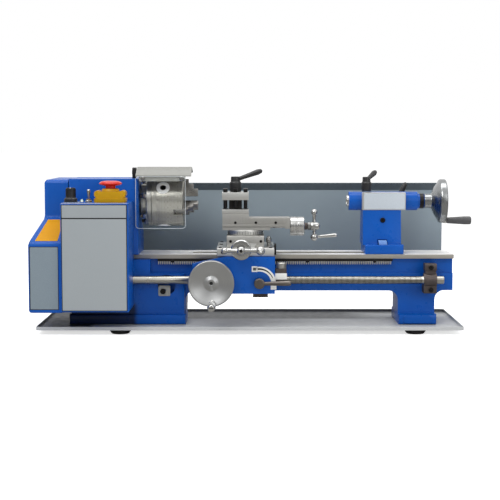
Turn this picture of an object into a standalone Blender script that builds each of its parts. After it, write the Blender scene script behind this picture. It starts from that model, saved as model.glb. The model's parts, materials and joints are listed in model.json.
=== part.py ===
"""Bench metal lathe, built as an assembly of separate pieces.

Lengths are in millimetres and are turned into metres when a mesh is made.
The design frame has X along the bed towards the tailstock, Y away from the
operator and Z up.  X = 0 is the middle of the chip tray, Y = 0 is the spindle
axis, and heights are counted from the top of the bed ways.  One root empty
carries everything into the part's own frame, whose origin is the middle of
the footprint on the table.
"""

import math

import bmesh
import bpy
from mathutils import Matrix, Vector

MM = 0.001

# --- clearances and small common values ------------------------------------
GAP = 0.3            # between two pieces that touch
PLAY = 0.3           # radial, between a shaft and its hole
SIDES = 20           # round pieces of ordinary size
BIG_SIDES = 28       # chuck and handwheels
SMALL_SIDES = 12     # pins and screws

# --- overall ----------------------------------------------------------------
CENTRE_HEIGHT = 90.0         # spindle axis above the ways
BED_RIGHT = 350.0
BED_LEFT = -309.0
BED_HEIGHT = 118.4
TRAY_LENGTH = 714.0
TRAY_FRONT = -124.0
TRAY_BACK = 112.0
TRAY_SHEET = 1.5
TRAY_LIP = 6.0
FOOT_HEIGHT = 8.0
FOOT_RADIUS = 18.0
FOOT_X = (-218.0, 278.0)
FOOT_INSET = 24.0

# --- bed ----------------------------------------------------------------------
WAY_HALF = 45.0
WAY_DEPTH = 7.0
WAY_SLOT_HALF = 14.0
WEB_HALF = 42.0
WEB_RECESS = 36.0
WEB_RECESS_BOTTOM = -32.5
BEAM_BOTTOM = -62.7
END_BOTTOM = -62.0
PEDESTAL_RIGHT = -111.0
PEDESTAL_FRONT = -55.0
LEG_LEFT = 255.0
LEG_RIGHT = 318.0
LEG_FILLET = 16.0
FLANGE_TOP = -101.5
FLANGE_FRONT = -65.0
RACK_LEFT = -159.0
RACK_RIGHT = 245.0
RACK_DEPTH = 10.0
RACK_FRONT = -46.0

# --- leadscrew -----------------------------------------------------------------
LEADSCREW_Y = -62.0
LEADSCREW_Z = -42.2
LEADSCREW_RADIUS = 7.0
LEADSCREW_RIGHT = 331.0
LEADSCREW_BLOCK = (296.0, 318.0)
LUG = (-305.0, -290.0)

# --- headstock, covers and controls ---------------------------------------------
HEAD_RIGHT = -190.5
HEAD_HALF = 58.0
HEAD_TOP = 131.3
HEAD_WALL = 10.0
BOX_RIGHT = -198.4
BOX_FRONT = -160.0
BOX_TOP = 93.0
BOX_BOTTOM = -85.0
BOX_WALL = 2.5
COVER_LEFT = -364.0
COVER_LEFT_TOP = -350.0
COVER_FRONT = -150.0
COVER_BACK = 96.0
COVER_BOTTOM = -88.0
COVER_SHOULDER = 28.0
COVER_NECK = 65.0
COVER_TOP = 127.0
COVER_WALL = 2.5
KNOB_X = -297.0
TOGGLE_X = -267.5
SWITCH_X = -231.0
CONTROL_Y = -116.0
TOGGLE_BALL = 4.4

# --- motor and drive --------------------------------------------------------------
MOTOR_Y = 69.0
MOTOR_Z = -50.0
MOTOR_RADIUS = 36.0
MOTOR_LEFT = -300.0
MOTOR_RIGHT = -160.0
MOTOR_SHAFT = 5.0
BELT_LEFT = -335.0
BELT_WIDTH = 10.0
BELT_THICKNESS = 4.0
SPINDLE_PULLEY = 30.0
MOTOR_PULLEY = 14.0
GEAR_LEFT = -321.0
GEAR_WIDTH = 8.0
MODULE = 2.0
SPINDLE_TEETH = 22
TUMBLER_TEETH = 13
IDLER_TEETH = 32
LEADSCREW_TEETH = 37
STUD_RADIUS = 4.0

# --- spindle and chuck ---------------------------------------------------------------
SPINDLE_RADIUS = 15.0
SPINDLE_BORE = 10.0
SPINDLE_LEFT = -345.0
SPINDLE_RIGHT = -172.0
SPIGOT_RADIUS = 14.0   # the nose that centres the chuck
TAIL_RADIUS = 13.0     # under the pulley and the first gear
BEARING_RADIUS = 24.0
BEARING_WIDTH = 9.0
FLANGE_LEFT = -188.0
FLANGE_RIGHT = -178.6
FLANGE_RADIUS = 29.0
CHUCK_RADIUS = 42.5
CHUCK_SEAM = -169.0
CHUCK_FACE = -114.8
CHUCK_BORE = 11.0
CHUCK_HUB = 15.0
SCROLL_RADIUS = 33.7
SCROLL_LEFT = -144.4
SCROLL_RIGHT = -131.4
KEY_X = -149.4
KEY_RADIUS = 4.7
KEY_SOCKET = 5.2
KEY_DEPTH = 10.0
JAW_WIDTH = 10.4
JAW_STEPS = ((8.0, 20.0, -90.7), (20.0, 29.0, -98.7), (29.0, 38.0, -106.7))
JAW_ANGLES = (-25.0, 95.0, 215.0)
KEY_ANGLES = (35.0, 155.0, 275.0)

# --- chuck guard ------------------------------------------------------------------------
GUARD_LEFT = -194.6
GUARD_RIGHT = -109.6
GUARD_HINGE_Y = 12.0
GUARD_HINGE_Z = 140.0
GUARD_SHEET = 2.0
WINDOW_Y = -60.5
WINDOW_SHEET = 2.4
WINDOW_BOTTOM = 45.5

# --- carriage ------------------------------------------------------------------------------
SADDLE_X = (-56.0, 41.0)
SADDLE_FRONT = -88.0
SADDLE_BACK = 52.0
SADDLE_TOP = 14.4
APRON_X = (-97.0, 42.0)
APRON_FRONT = -92.0
APRON_BACK = -74.0
APRON_BOTTOM = -62.6
APRON_WALL = 8.0
WHEEL_X = -64.7
WHEEL_Z = -42.1
WHEEL_RADIUS = 38.6
APRON_MODULE = 1.5
WHEEL_TEETH = 8
APRON_TEETH = 27
RACK_PINION_RADIUS = 7.0
LEVER_X = 15.7
LEVER_Z = -44.6
LEVER_REACH = 54.0
NUT_X = (5.0, 30.5)
NUT_BOTTOM = -70.6
DIAL_X = (44.0, 62.0)

# --- slides ----------------------------------------------------------------------------------
CROSS_SCREW_X = -14.7
CROSS_SCREW_Z = 14.3
CROSS_X = (-39.6, 24.0)
CROSS_FRONT = -70.0
CROSS_BACK = 40.0
CROSS_TOP = 33.5
DOVETAIL_HALF = 15.0
DOVETAIL_FLARE = 4.0
DOVETAIL_HEIGHT = 7.0
RING_X = -8.0
COMPOUND_Y = -27.0
RING_RADIUS = 26.0
RING_TOP = 42.0
BASE_X = (-47.3, 34.6)
BASE_HALF = 20.0
BASE_TOP = 48.0
TOP_X = (-47.3, 68.3)
TOP_HALF = 23.0
TOP_TOP = 63.3
SEAT_TOP = 70.6
TOP_SCREW_Z = 47.7
POST_SIZE = 45.6
POST_X = -25.0
POST_TOP = 106.8
STUD_TOP = 122.0
CLAMP_TOP = 133.3

# --- tailstock -----------------------------------------------------------------------------------
TAIL_BASE_X = (198.0, 264.0)
TAIL_BODY_X = (195.0, 260.6)
TAIL_BASE_TOP = 16.2
TAIL_BODY_HALF = 27.0
BARREL_X = (172.0, 303.3)
BARREL_RADIUS = 16.25
QUILL_RADIUS = 10.0
QUILL_X = (168.0, 285.0)
TAIL_WHEEL_RADIUS = 38.0
TAIL_WHEEL_X = 345.5
TAIL_HANDLE_TIP = 386.0
QUILL_LOCK_X = 203.0
CLAMP_PIVOT_X = 228.0
CLAMP_Y = 50.0

# --- splash guard ----------------------------------------------------------------------------------
SPLASH_HALF = 351.0
SPLASH_BACK = 110.0
SPLASH_SHEET = 1.2
SPLASH_BOTTOM = -45.0
SPLASH_FOLD = 105.4
SPLASH_TOP = 118.6
SPLASH_LIP_Y = 98.0
STAY_X = (-135.0, 285.0)

# --- worked out ---------------------------------------------------------------------------------------
WAY_TOP = FOOT_HEIGHT + TRAY_SHEET + GAP + BED_HEIGHT      # above the table
FOOTPRINT_X = (COVER_LEFT + TAIL_HANDLE_TIP) / 2
HANDLE_TIP_Y = -190.0
FOOTPRINT_Y = (HANDLE_TIP_Y + TRAY_BACK) / 2
SPINDLE = (0.0, CENTRE_HEIGHT)                             # in the YZ plane
LEADSCREW = (LEADSCREW_Y, LEADSCREW_Z)


# === scene and helpers ==================================================================

def clear_scene():
    """Empty the scene without closing the file."""
    for obj in list(bpy.data.objects):
        bpy.data.objects.remove(obj, do_unlink=True)
    for collection in list(bpy.data.collections):
        bpy.data.collections.remove(collection)


def make_collection(name):
    """Make a collection in the scene."""
    collection = bpy.data.collections.new(name)
    bpy.context.scene.collection.children.link(collection)
    return collection


def look(name, colour, roughness, metallic):
    """A plain Principled material, made once for each name."""
    material = bpy.data.materials.get(name)
    if material is None:
        material = bpy.data.materials.new(name)
        material.use_nodes = True
        shader = material.node_tree.nodes["Principled BSDF"]
        shader.inputs["Base Color"].default_value = (*colour, 1.0)
        shader.inputs["Roughness"].default_value = roughness
        shader.inputs["Metallic"].default_value = metallic
    return material


def blue_paint():
    return look("blue_paint", (0.008, 0.075, 0.33), 0.35, 0.0)


def ground_steel():
    return look("ground_steel", (0.38, 0.37, 0.35), 0.35, 1.0)


def bright_steel():
    return look("bright_steel", (0.55, 0.56, 0.57), 0.18, 1.0)


def dark_steel():
    return look("dark_steel", (0.06, 0.055, 0.055), 0.45, 0.8)


def black_plastic():
    return look("black_plastic", (0.012, 0.012, 0.013), 0.4, 0.0)


def rubber():
    return look("rubber", (0.012, 0.012, 0.012), 0.8, 0.0)


def grey_sheet():
    return look("grey_sheet", (0.20, 0.235, 0.26), 0.4, 0.2)


def pale_sheet():
    return look("pale_sheet", (0.42, 0.42, 0.41), 0.4, 0.2)


def clear_plastic():
    return look("clear_plastic", (0.75, 0.78, 0.78), 0.1, 0.0)


def yellow_plastic():
    return look("yellow_plastic", (0.75, 0.48, 0.02), 0.4, 0.0)


def red_plastic():
    return look("red_plastic", (0.62, 0.035, 0.025), 0.35, 0.0)


def make_pivot(name, place, parent=None):
    """An empty at a design point, in the design frame's directions."""
    empty = bpy.data.objects.new(name, None)
    empty.empty_display_size = 0.02
    PIVOTS.objects.link(empty)
    base = Vector((0.0, 0.0, 0.0))
    if parent is not None:
        empty.parent = parent
        base = Vector(parent["place"])
    empty["place"] = place
    empty.location = (Vector(place) - base) * MM
    return empty


def to_object(bm, name, collection, carrier, material=None):
    """Turn a bmesh in design millimetres into an object carried by an empty."""
    base = Vector(carrier["place"])
    for vert in bm.verts:
        vert.co = Vector([round(value, 4) for value in vert.co - base]) * MM
    mesh = bpy.data.meshes.new(name)
    bm.to_mesh(mesh)
    bm.free()
    mesh.shade_smooth()
    mesh.set_sharp_from_angle(angle=math.radians(30))
    if material is not None:
        mesh.materials.append(material)
    obj = bpy.data.objects.new(name, mesh)
    collection.objects.link(obj)
    obj.parent = carrier
    return obj


def add_part(name, bm, material, carrier):
    """Add a named sub-part."""
    return to_object(bm, name, PARTS, carrier, material)


def boolean(part, bm, operation):
    """Join a shape to a part, or cut it away, with a hidden operand."""
    number = len(part.modifiers) + 1
    tool = to_object(bm, f"{part.name}_{operation.lower()}_{number}", CUTTERS, part.parent)
    tool.hide_render = True
    tool.display_type = "WIRE"
    modifier = part.modifiers.new(f"{operation.lower()}_{number}", "BOOLEAN")
    modifier.operation = operation
    modifier.solver = "EXACT"
    modifier.object = tool


def join(part, *shapes):
    for bm in shapes:
        boolean(part, bm, "UNION")


def cut(part, *shapes):
    for bm in shapes:
        boolean(part, bm, "DIFFERENCE")


# --- basic shapes -------------------------------------------------------------------------

def block(x, y, z, bevel=0.0, along="XYZ", segments=2):
    """A box between three pairs of limits, its edges along some axes rounded."""
    bm = bmesh.new()
    bmesh.ops.create_cube(bm, size=1.0)
    size = (x[1] - x[0], y[1] - y[0], z[1] - z[0])
    bmesh.ops.scale(bm, verts=bm.verts, vec=size)
    middle = ((x[0] + x[1]) / 2, (y[0] + y[1]) / 2, (z[0] + z[1]) / 2)
    bmesh.ops.translate(bm, verts=bm.verts, vec=middle)
    if bevel > 0.0:
        edges = [edge for edge in bm.edges if edge_axis(edge) in along]
        bmesh.ops.bevel(bm, geom=edges, offset=bevel, segments=segments,
                        profile=0.5, affect="EDGES")
    return bm


def edge_axis(edge):
    """The axis letter that an edge of a box lies along."""
    step = edge.verts[1].co - edge.verts[0].co
    sizes = [abs(step.x), abs(step.y), abs(step.z)]
    return "XYZ"[sizes.index(max(sizes))]


def turn_to(direction):
    """The rotation that takes +Z to a direction."""
    return Vector((0, 0, 1)).rotation_difference(Vector(direction)).to_matrix().to_4x4()


def rod(start, end, radius, sides=SIDES, end_radius=None):
    """A round bar or cone between two points."""
    start = Vector(start)
    end = Vector(end)
    bm = bmesh.new()
    tip = radius if end_radius is None else end_radius
    bmesh.ops.create_cone(bm, cap_ends=True, segments=sides, radius1=radius,
                          radius2=tip, depth=(end - start).length)
    bm.transform(Matrix.Translation((start + end) / 2) @ turn_to(end - start))
    return bm


def ball(centre, radius):
    """A sphere with few faces, poles along Z."""
    bm = bmesh.new()
    bmesh.ops.create_uvsphere(bm, u_segments=10, v_segments=6, radius=radius)
    bmesh.ops.translate(bm, verts=bm.verts, vec=centre)
    return bm


def take_mesh(obj):
    """The evaluated mesh of a helper object as a bmesh, the object removed."""
    bpy.context.scene.collection.objects.link(obj)
    depsgraph = bpy.context.evaluated_depsgraph_get()
    mesh = bpy.data.meshes.new_from_object(obj.evaluated_get(depsgraph))
    bm = bmesh.new()
    bm.from_mesh(mesh)
    bpy.data.meshes.remove(mesh)
    bpy.data.objects.remove(obj, do_unlink=True)
    return bm


def turned(origin, direction, profile, sides=SIDES):
    """A turned shape: (radius, distance) points down the outer side, screwed round.

    The profile starts and ends on the axis, or closes on itself for a ring.
    """
    count = len(profile)
    ring = profile[0][0] > 0.0
    edges = [(i, i + 1) for i in range(count - 1)]
    if ring:
        edges.append((count - 1, 0))
    mesh = bpy.data.meshes.new("profile")
    mesh.from_pydata([(r, 0.0, z) for r, z in profile], edges, [])
    obj = bpy.data.objects.new("profile", mesh)
    screw = obj.modifiers.new("turn", "SCREW")
    screw.steps = sides
    screw.render_steps = sides
    screw.use_merge_vertices = True
    screw.merge_threshold = 0.0001
    bm = take_mesh(obj)
    bpy.data.meshes.remove(mesh)
    bmesh.ops.remove_doubles(bm, verts=bm.verts, dist=0.0001)
    bmesh.ops.recalc_face_normals(bm, faces=bm.faces)
    bm.transform(Matrix.Translation(origin) @ turn_to(direction))
    return bm


def outline_plate(loops, plane, low, high):
    """Flat outlines (the later ones are holes) given thickness along the third axis."""
    curve = bpy.data.curves.new("outline", "CURVE")
    curve.dimensions = "2D"
    curve.fill_mode = "BOTH"
    curve.extrude = (high - low) / 2
    for loop in loops:
        spline = curve.splines.new("POLY")
        spline.points.add(len(loop) - 1)
        for point, (u, v) in zip(spline.points, loop):
            point.co = (u, v, 0.0, 1.0)
        spline.use_cyclic_u = True
    bm = take_mesh(bpy.data.objects.new("outline", curve))
    bpy.data.curves.remove(curve)
    bmesh.ops.remove_doubles(bm, verts=bm.verts, dist=0.0001)
    middle = (low + high) / 2
    frames = {
        "XY": Matrix(((1, 0, 0, 0), (0, 1, 0, 0), (0, 0, 1, middle), (0, 0, 0, 1))),
        "XZ": Matrix(((1, 0, 0, 0), (0, 0, -1, middle), (0, 1, 0, 0), (0, 0, 0, 1))),
        "YZ": Matrix(((0, 0, 1, middle), (1, 0, 0, 0), (0, 1, 0, 0), (0, 0, 0, 1))),
    }
    bm.transform(frames[plane])
    bmesh.ops.recalc_face_normals(bm, faces=bm.faces)
    bmesh.ops.dissolve_limit(bm, angle_limit=math.radians(0.1), verts=bm.verts,
                             edges=bm.edges)
    return bm


def arc(centre, radius, start, end, steps=6):
    """Points along an arc, angles in degrees."""
    points = []
    for i in range(steps + 1):
        angle = math.radians(start + (end - start) * i / steps)
        points.append((centre[0] + radius * math.cos(angle),
                       centre[1] + radius * math.sin(angle)))
    return points


def circle(centre, radius, sides=SIDES):
    """Points round a circle, for an outline or a hole."""
    return arc(centre, radius, 0.0, 360.0 * (sides - 1) / sides, sides - 1)


def gear_outline(centre, teeth, module, phase):
    """Trapezoid teeth; one tooth is centred on the angle phase (radians)."""
    tip = module * (teeth + 1.5) / 2
    root = module * (teeth - 2.1) / 2
    pitch = 2 * math.pi / teeth
    points = []
    for i in range(teeth):
        middle = phase + i * pitch
        for radius, half in ((root, 0.27), (tip, 0.11)):
            angle = middle - half * pitch
            points.append((centre[0] + radius * math.cos(angle),
                           centre[1] + radius * math.sin(angle)))
        for radius, half in ((tip, 0.11), (root, 0.27)):
            angle = middle + half * pitch
            points.append((centre[0] + radius * math.cos(angle),
                           centre[1] + radius * math.sin(angle)))
    return points


def meshed_phase(centre, teeth, phase, other, other_teeth):
    """The phase that puts another gear's gap on this gear's tooth."""
    line = math.atan2(other[1] - centre[1], other[0] - centre[0])
    pitch = 2 * math.pi / teeth
    offset = ((line - phase) / pitch) % 1.0
    return line + math.pi + (offset + 0.5) * 2 * math.pi / other_teeth


def pitch_radius(teeth, module=MODULE):
    return teeth * module / 2


def third_corner(first, second, from_first, from_second):
    """The point at two given distances from two points, on the operator's side."""
    a = Vector(first)
    b = Vector(second)
    span = (b - a).length
    along = (span ** 2 + from_first ** 2 - from_second ** 2) / (2 * span)
    across = math.sqrt(max(from_first ** 2 - along ** 2, 0.0))
    step = (b - a) / span
    side = Vector((-step.y, step.x))
    choices = [a + step * along + side * across, a + step * along - side * across]
    return tuple(min(choices, key=lambda point: point.x))


# === change gears: centres and phases =====================================================

def gear_train():
    """Centres (Y, Z), tooth counts and phases from spindle to leadscrew."""
    line = Vector(LEADSCREW) - Vector(SPINDLE)
    reach = pitch_radius(SPINDLE_TEETH) + pitch_radius(TUMBLER_TEETH)
    tumbler = tuple(Vector(SPINDLE) + line.normalized() * reach)
    idler = third_corner(tumbler, LEADSCREW,
                         pitch_radius(TUMBLER_TEETH) + pitch_radius(IDLER_TEETH),
                         pitch_radius(IDLER_TEETH) + pitch_radius(LEADSCREW_TEETH))
    centres = (SPINDLE, tumbler, idler, LEADSCREW)
    teeth = (SPINDLE_TEETH, TUMBLER_TEETH, IDLER_TEETH, LEADSCREW_TEETH)
    phases = [0.0]
    for i in range(3):
        phases.append(meshed_phase(centres[i], teeth[i], phases[i],
                                   centres[i + 1], teeth[i + 1]))
    return centres, teeth, phases


def train_gear(index, bore):
    """One gear of the train, lying in the gear plane."""
    centres, teeth, phases = gear_train()
    loops = [gear_outline(centres[index], teeth[index], MODULE, phases[index]),
             circle(centres[index], bore, SMALL_SIDES + 4)]
    return outline_plate(loops, "YZ", GEAR_LEFT, GEAR_LEFT + GEAR_WIDTH)


# === stand: tray, feet and bed ==============================================================

def chip_tray(root):
    floor = -BED_HEIGHT - GAP
    half = TRAY_LENGTH / 2
    bottom = floor - TRAY_SHEET
    tray = add_part("chip_tray", block((-half, half), (TRAY_FRONT, TRAY_BACK),
                                       (bottom, bottom + TRAY_LIP), 6.0, "Z"),
                    pale_sheet(), root)
    wall = TRAY_SHEET
    cut(tray, block((-half + wall, half - wall), (TRAY_FRONT + wall, TRAY_BACK - wall),
                    (floor, floor + 2 * TRAY_LIP), 5.0, "Z"))


def feet(root):
    top = -BED_HEIGHT - GAP - TRAY_SHEET - GAP
    bottom = top - FOOT_HEIGHT + GAP
    profile = [(0.0, top), (FOOT_RADIUS, top), (FOOT_RADIUS, top - 3.0),
               (FOOT_RADIUS - 3.5, bottom), (0.0, bottom)]
    for side, x in zip(("left", "right"), FOOT_X):
        for row, y in (("front", TRAY_FRONT + FOOT_INSET), ("rear", TRAY_BACK - FOOT_INSET)):
            add_part(f"foot_{row}_{side}", turned((x, y, 0.0), (0, 0, 1), profile, 20),
                     rubber(), root)


def bed(root):
    """The casting: ways over a beam, a pedestal, a leg and their feet.

    Each shape that is joined on stands proud of the last by a small step, so
    that no two of their faces lie in one plane.
    """
    fillet = LEG_FILLET
    step = 1.0
    left = BED_LEFT + step
    right = BED_RIGHT - step
    bottom = -BED_HEIGHT + 2 * step
    outline = [(left, -WAY_DEPTH / 2), (left, bottom), (PEDESTAL_RIGHT, bottom)]
    outline += arc((PEDESTAL_RIGHT + fillet, BEAM_BOTTOM - fillet), fillet, 180, 90)
    outline += arc((LEG_LEFT - fillet, BEAM_BOTTOM - fillet), fillet, 90, 0)
    outline += [(LEG_LEFT, bottom), (LEG_RIGHT, bottom)]
    outline += arc((LEG_RIGHT + fillet, END_BOTTOM - fillet), fillet, 180, 90)
    outline += [(right, END_BOTTOM), (right, -WAY_DEPTH / 2)]
    casting = add_part("bed", outline_plate([outline], "XZ", -WEB_HALF, WEB_HALF),
                       blue_paint(), root)
    flange = (-BED_HEIGHT, FLANGE_TOP)
    join(casting,
         block((BED_LEFT, BED_RIGHT), (-WAY_HALF, WAY_HALF), (-WAY_DEPTH, 0.0)),
         block((left + step, PEDESTAL_RIGHT - step), (PEDESTAL_FRONT, 0.0),
               (bottom + step, -WAY_DEPTH - step), 3.0, "Z"),
         block((LEG_LEFT - step, LEG_RIGHT + step), (FLANGE_FRONT, WEB_HALF + 10), flange,
               4.0, "XZ"),
         block((BED_LEFT, PEDESTAL_RIGHT + step), (FLANGE_FRONT, 10.0), flange, 4.0, "XZ"),
         block(LUG, (LEADSCREW_Y - 12, PEDESTAL_FRONT + 5),
               (LEADSCREW_Z - 12, LEADSCREW_Z + 12), 3.0, "X"))
    recess = (WEB_RECESS_BOTTOM, -WAY_DEPTH)
    span = (PEDESTAL_RIGHT - 60, BED_RIGHT + 5)
    motor_front = MOTOR_Y - MOTOR_RADIUS - 3.0
    motor_bottom = MOTOR_Z - MOTOR_RADIUS - 8
    cut(casting,
        block(span, (PEDESTAL_FRONT - 5, -WEB_RECESS), recess),
        block(span, (WEB_RECESS, WEB_HALF + 5), recess),
        block((PEDESTAL_RIGHT + 11, LEG_LEFT - 10), (-WAY_SLOT_HALF, WAY_SLOT_HALF),
              (BEAM_BOTTOM - 5, 5.0), 8.0, "Z"),
        block((BED_LEFT - 5, MOTOR_RIGHT + 12), (motor_front, WAY_HALF + 20),
              (motor_bottom, -WAY_DEPTH - 3)),
        block((BED_LEFT - 5, PEDESTAL_RIGHT + 3), (motor_front + step, WAY_HALF + 20),
              (-BED_HEIGHT - 5, motor_bottom + step)),
        block((-158.0, -128.0), (PEDESTAL_FRONT - 5, PEDESTAL_FRONT + 24), (-68.0, -34.0),
              13.0, "Y", 3),
        rod((LUG[0] - 1, *LEADSCREW), (LUG[1] + 1, *LEADSCREW), LEADSCREW_RADIUS + PLAY))


def rack(root):
    """The bar to its tooth tips: the teeth are 1 mm deep."""
    add_part("rack", block((RACK_LEFT, RACK_RIGHT), (RACK_FRONT, -WEB_RECESS - GAP),
                           (-WAY_DEPTH - GAP - RACK_DEPTH + GAP, -WAY_DEPTH - GAP)),
             dark_steel(), root)


def splash_guard(root):
    front = SPLASH_BACK - SPLASH_SHEET
    outline = [(front, SPLASH_BOTTOM), (SPLASH_BACK, SPLASH_BOTTOM),
               (SPLASH_BACK, SPLASH_FOLD), (SPLASH_LIP_Y + 0.8, SPLASH_TOP),
               (SPLASH_LIP_Y, SPLASH_TOP - 0.9), (front, SPLASH_FOLD - 0.5)]
    guard = add_part("splash_guard",
                     outline_plate([outline], "YZ", -SPLASH_HALF, SPLASH_HALF),
                     grey_sheet(), root)
    for x in STAY_X:
        join(guard, block((x - 8, x + 8), (WEB_HALF + GAP, front + 0.5), (-43.0, -37.0)))


# === headstock and what hangs on it ===========================================================

def headstock(root):
    casting = add_part("headstock",
                       block((BED_LEFT, HEAD_RIGHT), (-HEAD_HALF, HEAD_HALF),
                             (GAP, HEAD_TOP), 4.0, "XZ"),
                       blue_paint(), root)
    wall = HEAD_WALL
    cut(casting, block((BED_LEFT + wall, HEAD_RIGHT - wall),
                       (-HEAD_HALF + wall, HEAD_HALF - wall),
                       (-5.0, HEAD_TOP - wall)))
    cut(casting, rod((BED_LEFT - 5, *SPINDLE), (HEAD_RIGHT + 5, *SPINDLE), BEARING_RADIUS,
                     BIG_SIDES))
    centres = gear_train()[0]
    for centre in centres[1:3]:
        join(casting, rod((GEAR_LEFT - 2, *centre), (BED_LEFT + wall / 2, *centre),
                          STUD_RADIUS, SMALL_SIDES))
    hinge = (GUARD_HINGE_Y, GUARD_HINGE_Z)
    bracket = (-212.0, -199.0)
    join(casting, block(bracket, (GUARD_HINGE_Y - 9, GUARD_HINGE_Y + 9),
                        (HEAD_TOP - 2, GUARD_HINGE_Z + 8), 2.0, "X"))
    cut(casting, rod((bracket[0] - 1, *hinge), (bracket[1] + 1, *hinge), 4.3, SMALL_SIDES))
    rear = HEAD_HALF
    cut(casting, rod((-250.0, rear - wall - 2, 60.0), (-250.0, rear + 2, 60.0), 5.3,
                     SMALL_SIDES))


def spindle_bearings(root):
    rings = (("rear_spindle_bearing", BED_LEFT + 0.5),
             ("front_spindle_bearing", HEAD_RIGHT - 0.5 - BEARING_WIDTH))
    outer = BEARING_RADIUS - PLAY
    inner = SPINDLE_RADIUS + PLAY
    for name, left in rings:
        profile = [(inner, left + BEARING_WIDTH), (outer, left + BEARING_WIDTH),
                   (outer, left), (inner, left)]
        add_part(name, turned((0.0, *SPINDLE), (1, 0, 0), profile, BIG_SIDES),
                 bright_steel(), root)


def control_box(root):
    left = BED_LEFT
    back = -HEAD_HALF - GAP
    box = add_part("control_box",
                   block((left, BOX_RIGHT), (BOX_FRONT, back), (BOX_BOTTOM, BOX_TOP),
                         2.0, "XZ"),
                   blue_paint(), root)
    wall = BOX_WALL
    cut(box,
        block((left + wall, BOX_RIGHT - wall), (BOX_FRONT + wall, back + 5),
              (BOX_BOTTOM + wall, BOX_TOP - wall)),
        block((left - 5, BOX_RIGHT + 5), (LEADSCREW_Y - 16, back + 5),
              (LEADSCREW_Z - 16, LEADSCREW_Z + 16)))
    for x, radius in ((KNOB_X, 3.3), (TOGGLE_X, TOGGLE_BALL + PLAY), (SWITCH_X, 6.0)):
        cut(box, rod((x, CONTROL_Y, BOX_TOP - 5), (x, CONTROL_Y, BOX_TOP + 5), radius,
                     SMALL_SIDES))


def gear_cover(root):
    """A shell with a drawn-in upper part, open towards the headstock."""
    right = BED_LEFT - GAP
    sections = ((COVER_BOTTOM, COVER_LEFT, COVER_FRONT),
                (COVER_SHOULDER, COVER_LEFT, COVER_FRONT),
                (COVER_NECK, COVER_LEFT_TOP, -HEAD_HALF),
                (COVER_TOP, COVER_LEFT_TOP, -HEAD_HALF))
    cover = add_part("gear_cover", cover_solid(sections, right, 0.0), blue_paint(), root)
    cut(cover, cover_solid(sections, right + 5, COVER_WALL))


def cover_solid(sections, right, inset):
    """A loft of rectangles up the cover, drawn in all round by the wall."""
    bm = bmesh.new()
    rings = []
    last = len(sections) - 1
    for i, (z, left, front) in enumerate(sections):
        level = z + inset if i == 0 else z
        level = z - inset if i == last else level
        corners = ((left + inset, front + inset), (right, front + inset),
                   (right, COVER_BACK - inset), (left + inset, COVER_BACK - inset))
        rings.append([bm.verts.new((x, y, level)) for x, y in corners])
    for low, high in zip(rings, rings[1:]):
        for i in range(4):
            j = (i + 1) % 4
            bm.faces.new((low[i], low[j], high[j], high[i]))
    bm.faces.new(rings[0][::-1])
    bm.faces.new(rings[-1])
    if inset == 0.0:
        edges = [edge for edge in bm.edges
                 if min(vert.co.x for vert in edge.verts) < right - 1.0]
        bmesh.ops.bevel(bm, geom=edges, offset=4.0, segments=2, profile=0.5,
                        affect="EDGES")
    bmesh.ops.recalc_face_normals(bm, faces=bm.faces)
    return bm


def motor(root):
    centre = (MOTOR_Y, MOTOR_Z)
    body = add_part("motor", rod((MOTOR_LEFT, *centre), (MOTOR_RIGHT, *centre),
                                 MOTOR_RADIUS, BIG_SIDES), dark_steel(), root)
    front = MOTOR_Y - MOTOR_RADIUS - 3.0 + GAP
    join(body, block((MOTOR_LEFT + 15, MOTOR_RIGHT - 15), (front, MOTOR_Y - 8),
                     (MOTOR_Z - 18, MOTOR_Z + 18)),
         rod((MOTOR_LEFT - 6, *centre), (MOTOR_LEFT + 5, *centre), 12.0))
    cut(body, rod((MOTOR_LEFT - 10, *centre), (MOTOR_LEFT + 30, *centre),
                  MOTOR_SHAFT + PLAY, SMALL_SIDES))


def belt_loop(clearance):
    """Both pulleys wrapped by one smooth line that far off their rims."""
    motor_centre = Vector((MOTOR_Y, MOTOR_Z))
    spindle_centre = Vector(SPINDLE)
    line = motor_centre - spindle_centre
    heading = math.degrees(math.atan2(line.y, line.x))
    lean = math.degrees(math.asin((SPINDLE_PULLEY - MOTOR_PULLEY) / line.length))
    turn = 90.0 - lean
    points = arc(spindle_centre, SPINDLE_PULLEY + clearance, heading + turn,
                 heading + 360.0 - turn, 16)
    points += arc(motor_centre, MOTOR_PULLEY + clearance, heading - turn,
                  heading + turn, 10)
    return points


def drive_belt(root):
    loops = [belt_loop(BELT_THICKNESS + GAP), belt_loop(GAP)]
    add_part("drive_belt", outline_plate(loops, "YZ", BELT_LEFT + 1,
                                         BELT_LEFT + BELT_WIDTH - 1), rubber(), root)


def leadscrew_bearing(root):
    low, high = LEADSCREW_BLOCK
    back = -WEB_HALF - GAP
    block_part = add_part("leadscrew_bearing",
                          block((low + 2, high), (LEADSCREW_Y - 6, back), (-26.0, -14.5),
                                1.5, "X"), dark_steel(), root)
    join(block_part,
         rod((low, *LEADSCREW), (high, *LEADSCREW), 12.0),
         block((low, high), (LEADSCREW_Y - 7, back), (-64.7, -42.0), 1.5, "X"),
         block((low + 3, high - 1), (LEADSCREW_Y - 4, back), (-45.0, -20.0)))
    cut(block_part, rod((low - 2, *LEADSCREW), (high + 2, *LEADSCREW),
                        LEADSCREW_RADIUS + PLAY))


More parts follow.
